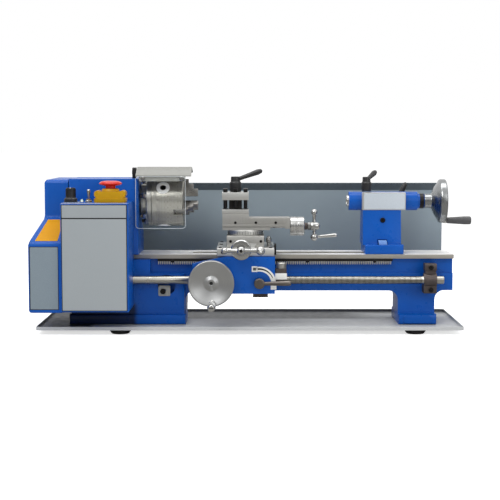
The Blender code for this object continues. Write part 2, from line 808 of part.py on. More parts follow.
def controls(root):
    base = BOX_TOP + GAP
    housing = add_part("switch_housing",
                       block((SWITCH_X - 26, SWITCH_X + 26), (CONTROL_Y - 20, CONTROL_Y + 20),
                             (base, base + 18), 6.0, "Z"), yellow_plastic(), root)
    join(housing, rod((SWITCH_X, CONTROL_Y, base + 8), (SWITCH_X, CONTROL_Y, base + 22), 15.0,
                      SIDES, 13.0))
    cut(housing, rod((SWITCH_X, CONTROL_Y, base - 2), (SWITCH_X, CONTROL_Y, base + 30), 8.6))
    button = make_pivot("stop_button_press", (SWITCH_X, CONTROL_Y, base + 30), root)
    profile = [(0.0, base + 35.5), (14.0, base + 34.4), (19.2, base + 31.5),
               (18.6, base + 29.6), (8.3, base + 27.0), (8.3, base + 4.0), (0.0, base + 4.0)]
    add_part("stop_button", turned((SWITCH_X, CONTROL_Y, 0.0), (0, 0, 1), profile),
             red_plastic(), button)
    knob = make_pivot("speed_knob_turn", (KNOB_X, CONTROL_Y, base), root)
    profile = [(0.0, base + 24.0), (7.6, base + 24.0), (8.3, base + 23.0), (8.6, base + 7.0),
               (11.0, base + 6.0), (11.0, base), (3.0, base), (3.0, base - 8.0),
               (0.0, base - 8.0)]
    add_part("speed_knob", turned((KNOB_X, CONTROL_Y, 0.0), (0, 0, 1), profile),
             black_plastic(), knob)
    pivot_z = BOX_TOP - 1.0
    toggle = make_pivot("toggle_swing", (TOGGLE_X, CONTROL_Y, pivot_z), root)
    lever = add_part("toggle_switch", rod((TOGGLE_X, CONTROL_Y, pivot_z),
                                          (TOGGLE_X, CONTROL_Y, pivot_z + 22), 1.6, SMALL_SIDES,
                                          2.9), bright_steel(), toggle)
    join(lever, ball((TOGGLE_X, CONTROL_Y, pivot_z), TOGGLE_BALL))


# === spindle, chuck and their drive =================================================================

def radial(angle, x, radius, across=0.0):
    """A point at an angle round the spindle (0 is towards the operator)."""
    turn = math.radians(angle)
    out = (-math.cos(turn), math.sin(turn))
    side = (math.sin(turn), math.cos(turn))
    return (x, out[0] * radius + side[0] * across,
            CENTRE_HEIGHT + out[1] * radius + side[1] * across)


def radial_block(angle, x, inner, outer, width):
    """A box whose length points out from the spindle axis."""
    bm = block((inner, outer), (-width / 2, width / 2), x)
    turn = math.radians(angle)
    out = Vector((0.0, -math.cos(turn), math.sin(turn)))
    along = Vector((1.0, 0.0, 0.0))
    side = along.cross(out)
    frame = Matrix((
        (out.x, side.x, along.x, 0.0),
        (out.y, side.y, along.y, 0.0),
        (out.z, side.z, along.z, CENTRE_HEIGHT),
        (0.0, 0.0, 0.0, 1.0)))
    bm.transform(frame)
    return bm


def spindle(turning):
    profile = [(0.0, SPINDLE_RIGHT), (SPIGOT_RADIUS, SPINDLE_RIGHT),
               (SPIGOT_RADIUS, FLANGE_RIGHT),
               (FLANGE_RADIUS, FLANGE_RIGHT), (FLANGE_RADIUS, FLANGE_LEFT),
               (SPINDLE_RADIUS, FLANGE_LEFT), (SPINDLE_RADIUS, BED_LEFT - 3),
               (TAIL_RADIUS, BED_LEFT - 3), (TAIL_RADIUS, SPINDLE_LEFT), (0.0, SPINDLE_LEFT)]
    shaft = add_part("spindle", turned((0.0, *SPINDLE), (1, 0, 0), profile), bright_steel(),
                     turning)
    cut(shaft, rod((SPINDLE_LEFT - 5, *SPINDLE), (SPINDLE_RIGHT + 7, *SPINDLE), SPINDLE_BORE))


def spindle_pulley(turning):
    """The poly-groove pulley with the first gear of the feed train."""
    left = BELT_LEFT
    bore = TAIL_RADIUS + PLAY
    hub = TAIL_RADIUS + 5
    part = add_part("spindle_pulley", train_gear(0, bore), dark_steel(), turning)
    profile = [(bore, GEAR_LEFT + 1), (hub, GEAR_LEFT + 1),
               (hub, left + BELT_WIDTH), (SPINDLE_PULLEY, left + BELT_WIDTH),
               (SPINDLE_PULLEY, left), (bore, left)]
    join(part, turned((0.0, *SPINDLE), (1, 0, 0), profile))


def chuck(turning):
    bore = SPIGOT_RADIUS + PLAY
    profile = [(bore, CHUCK_SEAM - GAP), (CHUCK_RADIUS, CHUCK_SEAM - GAP),
               (CHUCK_RADIUS, FLANGE_RIGHT + GAP), (bore, FLANGE_RIGHT + GAP)]
    add_part("chuck_back_plate", turned((0.0, *SPINDLE), (1, 0, 0), profile, BIG_SIDES),
             dark_steel(), turning)
    rim = CHUCK_RADIUS
    profile = [(0.0, CHUCK_FACE), (rim - 1.5, CHUCK_FACE), (rim, CHUCK_FACE - 1.5),
               (rim, CHUCK_SEAM), (0.0, CHUCK_SEAM)]
    body = add_part("chuck_body", turned((0.0, *SPINDLE), (1, 0, 0), profile, BIG_SIDES),
                    bright_steel(), turning)
    hollow = [(CHUCK_HUB, SCROLL_RIGHT + 0.4), (SCROLL_RADIUS + GAP, SCROLL_RIGHT + 0.4),
              (SCROLL_RADIUS + GAP, CHUCK_SEAM - 2), (CHUCK_HUB, CHUCK_SEAM - 2)]
    cut(body, turned((0.0, *SPINDLE), (1, 0, 0), hollow, BIG_SIDES),
        rod((CHUCK_SEAM - 5, *SPINDLE), (CHUCK_FACE + 5, *SPINDLE), CHUCK_BORE))
    for angle in JAW_ANGLES:
        cut(body, radial_block(angle, (SCROLL_RIGHT + GAP, CHUCK_FACE + 5), 2.0, rim + 5,
                               JAW_WIDTH + 2 * PLAY))
    for angle in KEY_ANGLES:
        cut(body, rod(radial(angle, KEY_X, SCROLL_RADIUS - 3), radial(angle, KEY_X, rim + 5),
                      KEY_RADIUS + PLAY, SMALL_SIDES))


def chuck_scroll(turning):
    scroll = make_pivot("scroll_turn", (SCROLL_LEFT, *SPINDLE), turning)
    inner = CHUCK_HUB + GAP
    profile = [(inner, SCROLL_RIGHT), (SCROLL_RADIUS, SCROLL_RIGHT),
               (SCROLL_RADIUS, SCROLL_LEFT), (inner, SCROLL_LEFT)]
    ring = turned((0.0, *SPINDLE), (1, 0, 0), profile, BIG_SIDES)
    add_part("chuck_scroll", ring, dark_steel(), scroll)
    for number, angle in enumerate(KEY_ANGLES, 1):
        key = make_pivot(f"key_{number}_turn", radial(angle, KEY_X, CHUCK_HUB + 1), turning)
        pinion = add_part(f"chuck_pinion_{number}",
                          rod(radial(angle, KEY_X, CHUCK_HUB + 1),
                              radial(angle, KEY_X, CHUCK_RADIUS - 0.5), KEY_RADIUS,
                              SMALL_SIDES), dark_steel(), key)
        square = (KEY_X - KEY_SOCKET / 2, KEY_X + KEY_SOCKET / 2)
        cut(pinion, radial_block(angle, square, CHUCK_RADIUS - KEY_DEPTH, CHUCK_RADIUS + 5,
                                 KEY_SOCKET))


def chuck_jaws(turning):
    for number, angle in enumerate(JAW_ANGLES, 1):
        slide = make_pivot(f"jaw_{number}_slide", radial(angle, CHUCK_FACE, 0.0), turning)
        inner, outer = JAW_STEPS[0][0], JAW_STEPS[-1][1]
        jaw = add_part(f"chuck_jaw_{number}",
                       radial_block(angle, (SCROLL_RIGHT + 2 * GAP, JAW_STEPS[-1][2]), inner,
                                    outer, JAW_WIDTH), bright_steel(), slide)
        for low, high, tip in JAW_STEPS[:-1]:
            join(jaw, radial_block(angle, (CHUCK_FACE, tip), low, high + 1, JAW_WIDTH))


def motor_drive(root):
    centre = (MOTOR_Y, MOTOR_Z)
    spin = make_pivot("motor_turn", (BELT_LEFT, *centre), root)
    profile = [(0.0, BELT_LEFT + BELT_WIDTH + 1), (MOTOR_PULLEY, BELT_LEFT + BELT_WIDTH + 1),
               (MOTOR_PULLEY, BELT_LEFT), (0.0, BELT_LEFT)]
    pulley = add_part("motor_pulley", turned((0.0, *centre), (1, 0, 0), profile),
                      ground_steel(), spin)
    join(pulley, rod((BELT_LEFT + 5, *centre), (MOTOR_LEFT + 24, *centre), MOTOR_SHAFT,
                     SMALL_SIDES))


def feed_gears(root):
    centres = gear_train()[0]
    for index, name in ((1, "tumbler_gear"), (2, "idler_gear")):
        spin = make_pivot(f"{name}_turn", (GEAR_LEFT, *centres[index]), root)
        add_part(name, train_gear(index, STUD_RADIUS + PLAY), dark_steel(), spin)
    spin = make_pivot("leadscrew_turn", (GEAR_LEFT, *LEADSCREW), root)
    add_part("leadscrew_gear", train_gear(3, LEADSCREW_RADIUS + PLAY), dark_steel(), spin)
    add_part("leadscrew", rod((GEAR_LEFT - 2, *LEADSCREW), (LEADSCREW_RIGHT, *LEADSCREW),
                              LEADSCREW_RADIUS, 20), bright_steel(), spin)


def range_lever(root):
    """The high and low range lever on the rear of the headstock."""
    centre = (-250.0, 60.0)
    turn = make_pivot("range_lever_turn", (centre[0], HEAD_HALF, centre[1]), root)
    rear = HEAD_HALF + GAP
    lever = add_part("range_lever", rod((centre[0], HEAD_HALF - HEAD_WALL - 4, centre[1]),
                                        (centre[0], rear + 6, centre[1]), 5.0, SMALL_SIDES),
                     black_plastic(), turn)
    join(lever, rod((centre[0], rear, centre[1]), (centre[0], rear + 10, centre[1]), 11.0),
         rod((centre[0], rear + 6, centre[1]), (centre[0], rear + 6, centre[1] + 38), 4.0,
             SMALL_SIDES),
         ball((centre[0], rear + 8, centre[1] + 38), 7.5))


# === chuck guard =======================================================================================

def chuck_guard(root):
    hinge = (GUARD_HINGE_Y, GUARD_HINGE_Z)
    swing = make_pivot("guard_swing", (GUARD_LEFT, *hinge), root)
    sheet = GUARD_SHEET
    half = WINDOW_SHEET / 2
    outline = [(GUARD_HINGE_Y, GUARD_HINGE_Z + 1), (-20.0, 150.0), (-58.0, 134.0 + sheet),
               (-58.0, 134.0), (-20.0, 150.0 - sheet), (GUARD_HINGE_Y, GUARD_HINGE_Z - 1)]
    plate = add_part("chuck_guard",
                     outline_plate([outline], "YZ", GUARD_LEFT, GUARD_RIGHT + 9.6),
                     pale_sheet(), swing)
    join(plate, rod((-213.0, *hinge), (GUARD_RIGHT, *hinge), 4.0, SMALL_SIDES),
         rod((-217.0, *hinge), (-212.3, *hinge), 7.0, SMALL_SIDES),
         block((HEAD_RIGHT + 2, GUARD_RIGHT), (WINDOW_Y + half + GAP, -56.5),
               (126.0, 135.0)))
    add_part("chuck_guard_window",
             block((GUARD_LEFT, GUARD_RIGHT), (WINDOW_Y - half, WINDOW_Y + half),
                   (WINDOW_BOTTOM, 134.7), 6.0, "Y", 3), clear_plastic(), swing)


# === carriage ===============================================================================================

def saddle(carriage):
    bottom = GAP
    casting = add_part("saddle", block(SADDLE_X, (SADDLE_FRONT, SADDLE_BACK),
                                       (bottom, SADDLE_TOP), 1.5, "XZ"), ground_steel(),
                       carriage)
    middle = (CROSS_X[0] + CROSS_X[1]) / 2
    join(casting, dovetail_y(middle, DOVETAIL_HALF, SADDLE_TOP - 1, DOVETAIL_HEIGHT + 1,
                             (SADDLE_FRONT + 16, SADDLE_BACK)),
         rod((CROSS_SCREW_X, SADDLE_FRONT - 23, CROSS_SCREW_Z),
             (CROSS_SCREW_X, SADDLE_FRONT + 4, CROSS_SCREW_Z), 12.5))
    cut(casting,
        block((CROSS_SCREW_X - 7, CROSS_SCREW_X + 7), (SADDLE_FRONT + 16, SADDLE_BACK + 5),
              (CROSS_SCREW_Z - 8, 40.0)),
        rod((CROSS_SCREW_X, SADDLE_FRONT - 30, CROSS_SCREW_Z),
            (CROSS_SCREW_X, SADDLE_FRONT + 30, CROSS_SCREW_Z), 4.5 + PLAY, SMALL_SIDES))


def dovetail_y(middle, half, low, height, span):
    """A rail along Y, wider at its top than at its root."""
    outline = [(middle - half, low), (middle + half, low),
               (middle + half + DOVETAIL_FLARE, low + height),
               (middle - half - DOVETAIL_FLARE, low + height)]
    return outline_plate([outline], "XZ", *span)


def apron(carriage):
    left, right = APRON_X
    chamfer = 12.0
    outline = [(left, APRON_BOTTOM), (right, APRON_BOTTOM), (right, 0.0),
               (left + 44 + chamfer, 0.0), (left + 44, -2.0), (left, -chamfer)]
    casting = add_part("apron", outline_plate([outline], "XZ", APRON_FRONT, APRON_BACK),
                       blue_paint(), carriage)
    inner = APRON_FRONT + APRON_WALL
    gear = apron_gear_centre()
    reach = pitch_radius(APRON_TEETH, APRON_MODULE) + 2.5
    cut(casting,
        block((WHEEL_X - 12, gear[0] + reach), (inner, APRON_BACK + 5),
              (APRON_BOTTOM + 5, -2.5)),
        block((NUT_X[0] - 3, NUT_X[1] + 3), (inner, APRON_BACK + 5), (-75.0, -14.0)),
        rod((WHEEL_X, APRON_FRONT - 5, WHEEL_Z), (WHEEL_X, inner + 5, WHEEL_Z),
            6.0 + PLAY, SMALL_SIDES),
        rod((LEVER_X, APRON_FRONT - 5, LEVER_Z), (LEVER_X, inner + 5, LEVER_Z),
            5.0 + PLAY, SMALL_SIDES),
        rod((gear[0], inner - 5, gear[1]), (gear[0], inner + 5, gear[1]),
            4.0 + PLAY, SMALL_SIDES))


def apron_gear_centre():
    """The second shaft: under the rack, in mesh with the handwheel's pinion."""
    z = -WAY_DEPTH - GAP - RACK_DEPTH - RACK_PINION_RADIUS - GAP
    reach = pitch_radius(WHEEL_TEETH, APRON_MODULE) + pitch_radius(APRON_TEETH, APRON_MODULE)
    drop = z - WHEEL_Z
    return (WHEEL_X + math.sqrt(max(reach ** 2 - drop ** 2, 0.0)), z)


def carriage_handwheel(carriage):
    front = -APRON_FRONT
    place = (WHEEL_X, 0.0, WHEEL_Z)
    turn = make_pivot("handwheel_turn", (WHEEL_X, APRON_FRONT, WHEEL_Z), carriage)
    rim = WHEEL_RADIUS
    profile = [(0.0, front + 29), (8.0, front + 29), (10.0, front + 23),
               (28.0, front + 22), (31.0, front + 32), (36.5, front + 33),
               (rim, front + 30), (rim, front + 23), (36.5, front + 19), (12.0, front + 15),
               (12.0, front + GAP), (6.0, front + GAP),
               (6.0, front - APRON_WALL), (4.0, front - APRON_WALL),
               (4.0, front - APRON_WALL - 6), (0.0, front - APRON_WALL - 6)]
    wheel = add_part("carriage_handwheel", turned(place, (0, -1, 0), profile, BIG_SIDES),
                     ground_steel(), turn)
    inner = APRON_FRONT + APRON_WALL
    teeth = gear_outline((WHEEL_X, WHEEL_Z), WHEEL_TEETH, APRON_MODULE, 0.0)
    grip = WHEEL_RADIUS - 5.6
    handle = [(0.0, -HANDLE_TIP_Y), (5.0, -HANDLE_TIP_Y), (6.5, -HANDLE_TIP_Y - 4),
              (7.0, front + 60), (4.5, front + 34), (4.5, front + 24), (0.0, front + 24)]
    join(wheel, outline_plate([teeth], "XZ", inner + 1, inner + 6.5),
         turned((WHEEL_X + 2, 0.0, WHEEL_Z - grip), (0, -1, 0), handle, SMALL_SIDES))


def rack_pinion(carriage):
    gear = apron_gear_centre()
    inner = APRON_FRONT + APRON_WALL
    turn = make_pivot("rack_pinion_turn", (gear[0], inner, gear[1]), carriage)
    phase = meshed_phase((WHEEL_X, WHEEL_Z), WHEEL_TEETH, 0.0, gear, APRON_TEETH)
    teeth = gear_outline(gear, APRON_TEETH, APRON_MODULE, phase)
    part = add_part("rack_pinion", outline_plate([teeth], "XZ", inner + 1, inner + 6.5),
                    dark_steel(), turn)
    join(part, rod((gear[0], inner - 4.5, gear[1]), (gear[0], -47.0, gear[1]), 4.0,
                   SMALL_SIDES),
         rod((gear[0], RACK_FRONT - 3, gear[1]), (gear[0], RACK_FRONT + 8, gear[1]),
             RACK_PINION_RADIUS, 16))


def half_nut_lever(carriage):
    turn = make_pivot("half_nut_turn", (LEVER_X, APRON_FRONT, LEVER_Z), carriage)
    front = APRON_FRONT - GAP
    inner = APRON_FRONT + APRON_WALL
    lever = add_part("half_nut_lever",
                     rod((LEVER_X, front - 12, LEVER_Z), (LEVER_X, front, LEVER_Z), 9.0),
                     dark_steel(), turn)
    join(lever, rod((LEVER_X, front - 5, LEVER_Z), (LEVER_X, inner + 5, LEVER_Z), 5.0,
                    SMALL_SIDES),
         rod((LEVER_X, front - 8, LEVER_Z), (LEVER_X + LEVER_REACH, front - 8, LEVER_Z + 1.0),
             3.2, SMALL_SIDES, 4.2))


def half_nuts(carriage):
    """Two blocks that close on the leadscrew behind the apron."""
    split = 0.4
    front = APRON_BACK + GAP
    limits = (("upper_half_nut", (LEADSCREW_Z + split, LEADSCREW_Z + 18)),
              ("lower_half_nut", (NUT_BOTTOM, LEADSCREW_Z - split)))
    for name, z in limits:
        slide = make_pivot(f"{name}_slide", (NUT_X[0], LEADSCREW_Y, LEADSCREW_Z), carriage)
        nut = add_part(name, block(NUT_X, (front, LEADSCREW_Y + 9), z), dark_steel(), slide)
        cut(nut, rod((NUT_X[0] - 2, *LEADSCREW), (NUT_X[1] + 2, *LEADSCREW),
                     LEADSCREW_RADIUS + PLAY))


def thread_dial(carriage):
    left, right = DIAL_X
    middle = (left + right) / 2
    y = APRON_BACK - 6.0
    body = add_part("thread_dial", block((APRON_X[1] + GAP, right), (y - 9, y + 9),
                                         (-49.0, -21.0), 2.0, "Z"), dark_steel(), carriage)
    cut(body, rod((middle, y, -60.0), (middle, y, -10.0), 3.0 + PLAY, SMALL_SIDES))
    turn = make_pivot("thread_dial_turn", (middle, y, -21.0), carriage)
    profile = [(0.0, -10.0), (7.0, -10.0), (8.6, -12.0), (8.6, -20.7), (3.0, -20.7),
               (3.0, -48.0), (0.0, -48.0)]
    add_part("thread_dial_cap", turned((middle, y, 0.0), (0, 0, 1), profile), ground_steel(),
             turn)


def ball_crank(place, direction, heads, hub_end, radius, handle):
    """Shapes of a two-ball crank: arms from the hub and a handle to one side."""
    along = Vector(direction)
    centre = Vector(place)
    shapes = []
    for offset, size in heads:
        point = centre + Vector(offset)
        shapes.append(rod(centre, point, radius, SMALL_SIDES))
        shapes.append(ball(point, size))
    root_point = centre + Vector(handle[0])
    shapes.append(rod(root_point, root_point + Vector(handle[1]), 2.6, SMALL_SIDES, 3.6))
    shapes.append(rod(centre - along * 6, centre + along * hub_end, 7.0, SMALL_SIDES))
    return shapes


# === slides ===================================================================================================

def cross_slide(carriage):
    slide = make_pivot("cross_slide_move", (CROSS_SCREW_X, CROSS_FRONT, SADDLE_TOP), carriage)
    bottom = SADDLE_TOP + GAP
    part = add_part("cross_slide", block(CROSS_X, (CROSS_FRONT, CROSS_BACK),
                                         (bottom, CROSS_TOP), 1.0, "XZ"), ground_steel(),
                    slide)
    middle = (CROSS_X[0] + CROSS_X[1]) / 2
    cut(part, dovetail_y(middle, DOVETAIL_HALF + GAP, SADDLE_TOP - 0.5,
                         DOVETAIL_HEIGHT + 0.5 + GAP, (CROSS_FRONT - 5, CROSS_BACK + 5)))
    join(part, block((CROSS_SCREW_X - 6.5, CROSS_SCREW_X + 6.5), (-25.0, -5.0),
                     (CROSS_SCREW_Z - 6.5, SADDLE_TOP + DOVETAIL_HEIGHT + 2)))
    cut(part, rod((CROSS_SCREW_X, -30.0, CROSS_SCREW_Z), (CROSS_SCREW_X, 0.0, CROSS_SCREW_Z),
                  4.5 + PLAY, SMALL_SIDES))
    return slide


def cross_feed_crank(carriage):
    turn = make_pivot("cross_crank_turn", (CROSS_SCREW_X, SADDLE_FRONT, CROSS_SCREW_Z), carriage)
    y = SADDLE_FRONT - 23 - GAP
    dial = add_part("cross_feed_crank",
                    rod((CROSS_SCREW_X, y - 17, CROSS_SCREW_Z), (CROSS_SCREW_X, y, CROSS_SCREW_Z),
                        17.0, BIG_SIDES), bright_steel(), turn)
    place = (CROSS_SCREW_X, y - 29, CROSS_SCREW_Z)
    heads = (((-27.0, 0.0, 0.0), 5.5), ((32.0, 0.0, 0.0), 7.5))
    handle = ((32.0, 0.0, 0.0), (0.0, -42.0, 0.0))
    join(dial, rod((CROSS_SCREW_X, y - 5, CROSS_SCREW_Z), (CROSS_SCREW_X, 36.0, CROSS_SCREW_Z),
                   4.5, SMALL_SIDES),
         rod((CROSS_SCREW_X, y - 28, CROSS_SCREW_Z), (CROSS_SCREW_X, y - 5, CROSS_SCREW_Z), 7.0),
         *ball_crank(place, (0, -1, 0), heads, 8.0, 3.6, handle))


def compound_base(cross):
    turn = make_pivot("compound_swivel", (RING_X, COMPOUND_Y, CROSS_TOP), cross)
    low = CROSS_TOP + GAP
    base = add_part("compound_base",
                    rod((RING_X, COMPOUND_Y, low), (RING_X, COMPOUND_Y, RING_TOP + 1),
                        RING_RADIUS, BIG_SIDES), ground_steel(), turn)
    rail = [(COMPOUND_Y - 10, BASE_TOP - 1), (COMPOUND_Y + 10, BASE_TOP - 1),
            (COMPOUND_Y + 13, BASE_TOP + 6), (COMPOUND_Y - 13, BASE_TOP + 6)]
    join(base, block(BASE_X, (COMPOUND_Y - BASE_HALF, COMPOUND_Y + BASE_HALF),
                     (RING_TOP, BASE_TOP)),
         outline_plate([rail], "YZ", *BASE_X))
    cut(base, block((BASE_X[0] - 5, BASE_X[1] + 5), (COMPOUND_Y - 5.5, COMPOUND_Y + 5.5),
                    (RING_TOP + 0.5, BASE_TOP + 20)))
    return turn


def top_slide(swivel):
    slide = make_pivot("top_slide_move", (TOP_X[0], COMPOUND_Y, BASE_TOP), swivel)
    low = BASE_TOP + GAP
    part = add_part("top_slide",
                    block(TOP_X, (COMPOUND_Y - TOP_HALF, COMPOUND_Y + TOP_HALF),
                          (low, TOP_TOP)), ground_steel(), slide)
    y = COMPOUND_Y
    groove = [(y - 10 - GAP, BASE_TOP - 0.5), (y + 10 + GAP, BASE_TOP - 0.5),
              (y + 13.3, BASE_TOP + 6 + GAP), (y - 13.3, BASE_TOP + 6 + GAP)]
    end = (TOP_X[1] - 8.3, TOP_X[1])
    half = POST_SIZE / 2
    cut(part, outline_plate([groove], "YZ", TOP_X[0] - 5, end[0]))
    join(part, block(end, (y - TOP_HALF, y + TOP_HALF), (TOP_SCREW_Z - 9, TOP_TOP)),
         block((TOP_X[0], POST_X + half + 0.5), (y - TOP_HALF, y + TOP_HALF),
               (TOP_TOP - 1, SEAT_TOP)),
         rod((POST_X, y, SEAT_TOP - 2), (POST_X, y, STUD_TOP), 5.7, SMALL_SIDES),
         block((-12.0, 4.0), (y - 5, y + 5), (TOP_SCREW_Z - 4.5, BASE_TOP + 10)))
    cut(part, rod((-20.0, y, TOP_SCREW_Z), (TOP_X[1] + 5, y, TOP_SCREW_Z), 3.5 + PLAY,
                  SMALL_SIDES))
    return slide


def top_slide_crank(top):
    y = COMPOUND_Y
    turn = make_pivot("top_crank_turn", (TOP_X[1], y, TOP_SCREW_Z), top)
    left = TOP_X[1] + 0.7
    dial = add_part("top_slide_crank",
                    rod((left, y, TOP_SCREW_Z), (left + 24.6, y, TOP_SCREW_Z), 16.4, BIG_SIDES),
                    bright_steel(), turn)
    x = 111.0
    heads = (((0.0, 0.0, 24.0), 5.5), ((0.0, 0.0, -19.0), 6.5))
    handle = ((0.0, 0.0, -19.0), (40.0, 0.0, 3.5))
    join(dial, rod((-16.0, y, TOP_SCREW_Z), (left + 5, y, TOP_SCREW_Z), 3.5, SMALL_SIDES),
         rod((left + 20, y, TOP_SCREW_Z), (x, y, TOP_SCREW_Z), 6.5),
         *ball_crank((x, y, TOP_SCREW_Z), (1, 0, 0), heads, 10.0, 3.6, handle))


def tool_post(top):
    y = COMPOUND_Y
    turn = make_pivot("tool_post_turn", (POST_X, y, SEAT_TOP), top)
    half = POST_SIZE / 2
    low = SEAT_TOP + GAP
    post = add_part("tool_post", block((POST_X - half, POST_X + half), (y - half, y + half),
                                       (low, low + 6.6)), dark_steel(), turn)
    core = 11.0
    join(post, block((POST_X - core, POST_X + core), (y - core, y + core),
                     (low + 5, POST_TOP - 10)),
         block((POST_X - half, POST_X + half), (y - half, y + half),
               (POST_TOP - 13.3, POST_TOP)))
    cut(post, rod((POST_X, y, low - 5), (POST_X, y, POST_TOP + 5), 6.0, SMALL_SIDES))


def tool_clamp_lever(top):
    y = COMPOUND_Y
    low = POST_TOP + GAP
    turn = make_pivot("tool_clamp_turn", (POST_X, y, POST_TOP), top)
    profile = [(0.0, CLAMP_TOP), (7.5, CLAMP_TOP), (8.4, CLAMP_TOP - 1), (9.0, low + 4),
               (10.5, low + 3), (10.5, low), (0.0, low)]
    lever = add_part("tool_clamp_lever", turned((POST_X, y, 0.0), (0, 0, 1), profile),
                     black_plastic(), turn)
    join(lever, rod((POST_X, y, CLAMP_TOP - 6), (POST_X + 42, y, CLAMP_TOP + 9), 4.0,
                    SMALL_SIDES, 5.4), ball((POST_X + 42, y, CLAMP_TOP + 9), 5.4))
    cut(lever, rod((POST_X, y, low - 5), (POST_X, y, STUD_TOP + 1), 6.0, SMALL_SIDES))


# === tailstock =================================================================================================

def tailstock(root):
    slide = make_pivot("tailstock_move", (TAIL_BASE_X[0], 0.0, 0.0), root)
    casting = add_part("tailstock", block(TAIL_BASE_X, (-WAY_HALF, WAY_HALF),
                                          (GAP, TAIL_BASE_TOP), 2.0, "XZ"), blue_paint(),
                       slide)
    half = TAIL_BODY_HALF
    outline = [(-half - 6, TAIL_BASE_TOP - 1), (half + 6, TAIL_BASE_TOP - 1),
               (half, CENTRE_HEIGHT - 22), (half - 2, CENTRE_HEIGHT + 15),
               (-half + 2, CENTRE_HEIGHT + 15), (-half, CENTRE_HEIGHT - 22)]
    join(casting, outline_plate([outline], "YZ", *TAIL_BODY_X),
         rod((BARREL_X[0], *SPINDLE), (BARREL_X[1] - 12, *SPINDLE), BARREL_RADIUS),
         rod((BARREL_X[1] - 15, *SPINDLE), (BARREL_X[1], *SPINDLE), 13.0),
         block((CLAMP_PIVOT_X - 9, CLAMP_PIVOT_X + 9), (WAY_HALF - 5, WAY_HALF + 1),
               (6.0, 24.0), 3.0, "Y"))
    cut(casting, rod((BARREL_X[0] - 5, *SPINDLE), (BARREL_X[1] - 14, *SPINDLE),
                     QUILL_RADIUS + PLAY),
        rod((BARREL_X[1] - 20, *SPINDLE), (BARREL_X[1] + 5, *SPINDLE), 5.0 + PLAY,
            SMALL_SIDES),
        rod((QUILL_LOCK_X, 0.0, CENTRE_HEIGHT + 8), (QUILL_LOCK_X, 0.0, CENTRE_HEIGHT + 30),
            4.3, SMALL_SIDES),
        rod((CLAMP_PIVOT_X, WAY_HALF - 20, 15.0), (CLAMP_PIVOT_X, WAY_HALF + 5, 15.0), 4.3,
            SMALL_SIDES))
    return slide


def quill(tail):
    slide = make_pivot("quill_move", (QUILL_X[0], *SPINDLE), tail)
    part = add_part("quill", rod((QUILL_X[0], *SPINDLE), (QUILL_X[1], *SPINDLE), QUILL_RADIUS),
                    bright_steel(), slide)
    cut(part, rod((QUILL_X[0] - 2, *SPINDLE), (QUILL_X[0] + 45, *SPINDLE), 6.5, SIDES, 5.2),
        rod((QUILL_X[0] + 52, *SPINDLE), (QUILL_X[1] + 5, *SPINDLE), 5.0 + PLAY,
            SMALL_SIDES))


def tailstock_handwheel(tail):
    turn = make_pivot("tail_wheel_turn", (BARREL_X[1], *SPINDLE), tail)
    right = TAIL_WHEEL_X
    rim = TAIL_WHEEL_RADIUS
    profile = [(0.0, right - 3), (9.0, right - 4), (27.0, right - 6),
               (30.0, right - 0.5), (36.0, right), (rim, right - 3),
               (rim, right - 9), (35.0, right - 12.5), (14.0, right - 13), (13.0, right - 24.5),
               (10.5, right - 24.5), (10.5, BARREL_X[1] + GAP), (5.0, BARREL_X[1] + GAP),
               (5.0, QUILL_X[0] + 62), (0.0, QUILL_X[0] + 62)]
    wheel = add_part("tailstock_handwheel", turned((0.0, *SPINDLE), (1, 0, 0), profile,
                                                   BIG_SIDES), bright_steel(), turn)
    handle = [(0.0, TAIL_HANDLE_TIP), (6.0, TAIL_HANDLE_TIP), (7.2, TAIL_HANDLE_TIP - 3),
              (5.5, right + 2), (4.0, right - 1), (4.0, right - 6), (0.0, right - 6)]
    join(wheel, turned((0.0, 0.0, CENTRE_HEIGHT - 34), (1, 0, 0), handle, SMALL_SIDES))


def tailstock_levers(tail):
    low = CENTRE_HEIGHT + BARREL_RADIUS
    lock = make_pivot("quill_lock_turn", (QUILL_LOCK_X, 0.0, low), tail)
    lever = add_part("quill_lock_lever",
                     rod((QUILL_LOCK_X, 0.0, low + 0.8), (QUILL_LOCK_X, 0.0, 132.0), 9.0, SIDES,
                         7.5), black_plastic(), lock)
    join(lever, rod((QUILL_LOCK_X, 0.0, CENTRE_HEIGHT + 11), (QUILL_LOCK_X, 0.0, low + 5), 4.0,
                    SMALL_SIDES),
         rod((QUILL_LOCK_X, 0.0, 126.0), (QUILL_LOCK_X + 17, 28.0, 139.0), 3.6, SMALL_SIDES,
             5.0), ball((QUILL_LOCK_X + 17, 28.0, 139.0), 5.0))
    z = 15.0
    y = CLAMP_Y
    clamp = make_pivot("tail_clamp_turn", (CLAMP_PIVOT_X, y, z), tail)
    handle = add_part("tailstock_clamp_lever",
                      rod((CLAMP_PIVOT_X, WAY_HALF + 1 + GAP, z), (CLAMP_PIVOT_X, y + 5, z),
                          8.5), black_plastic(), clamp)
    tip = (CLAMP_PIVOT_X + 45, y + 1, z + 103)
    join(handle, rod((CLAMP_PIVOT_X, WAY_HALF - 18, z), (CLAMP_PIVOT_X, y, z), 4.0,
                     SMALL_SIDES),
         rod((CLAMP_PIVOT_X, y + 1, z), tip, 3.6, SMALL_SIDES, 5.0), ball(tip, 5.0))


# === the whole machine ==========================================================================================

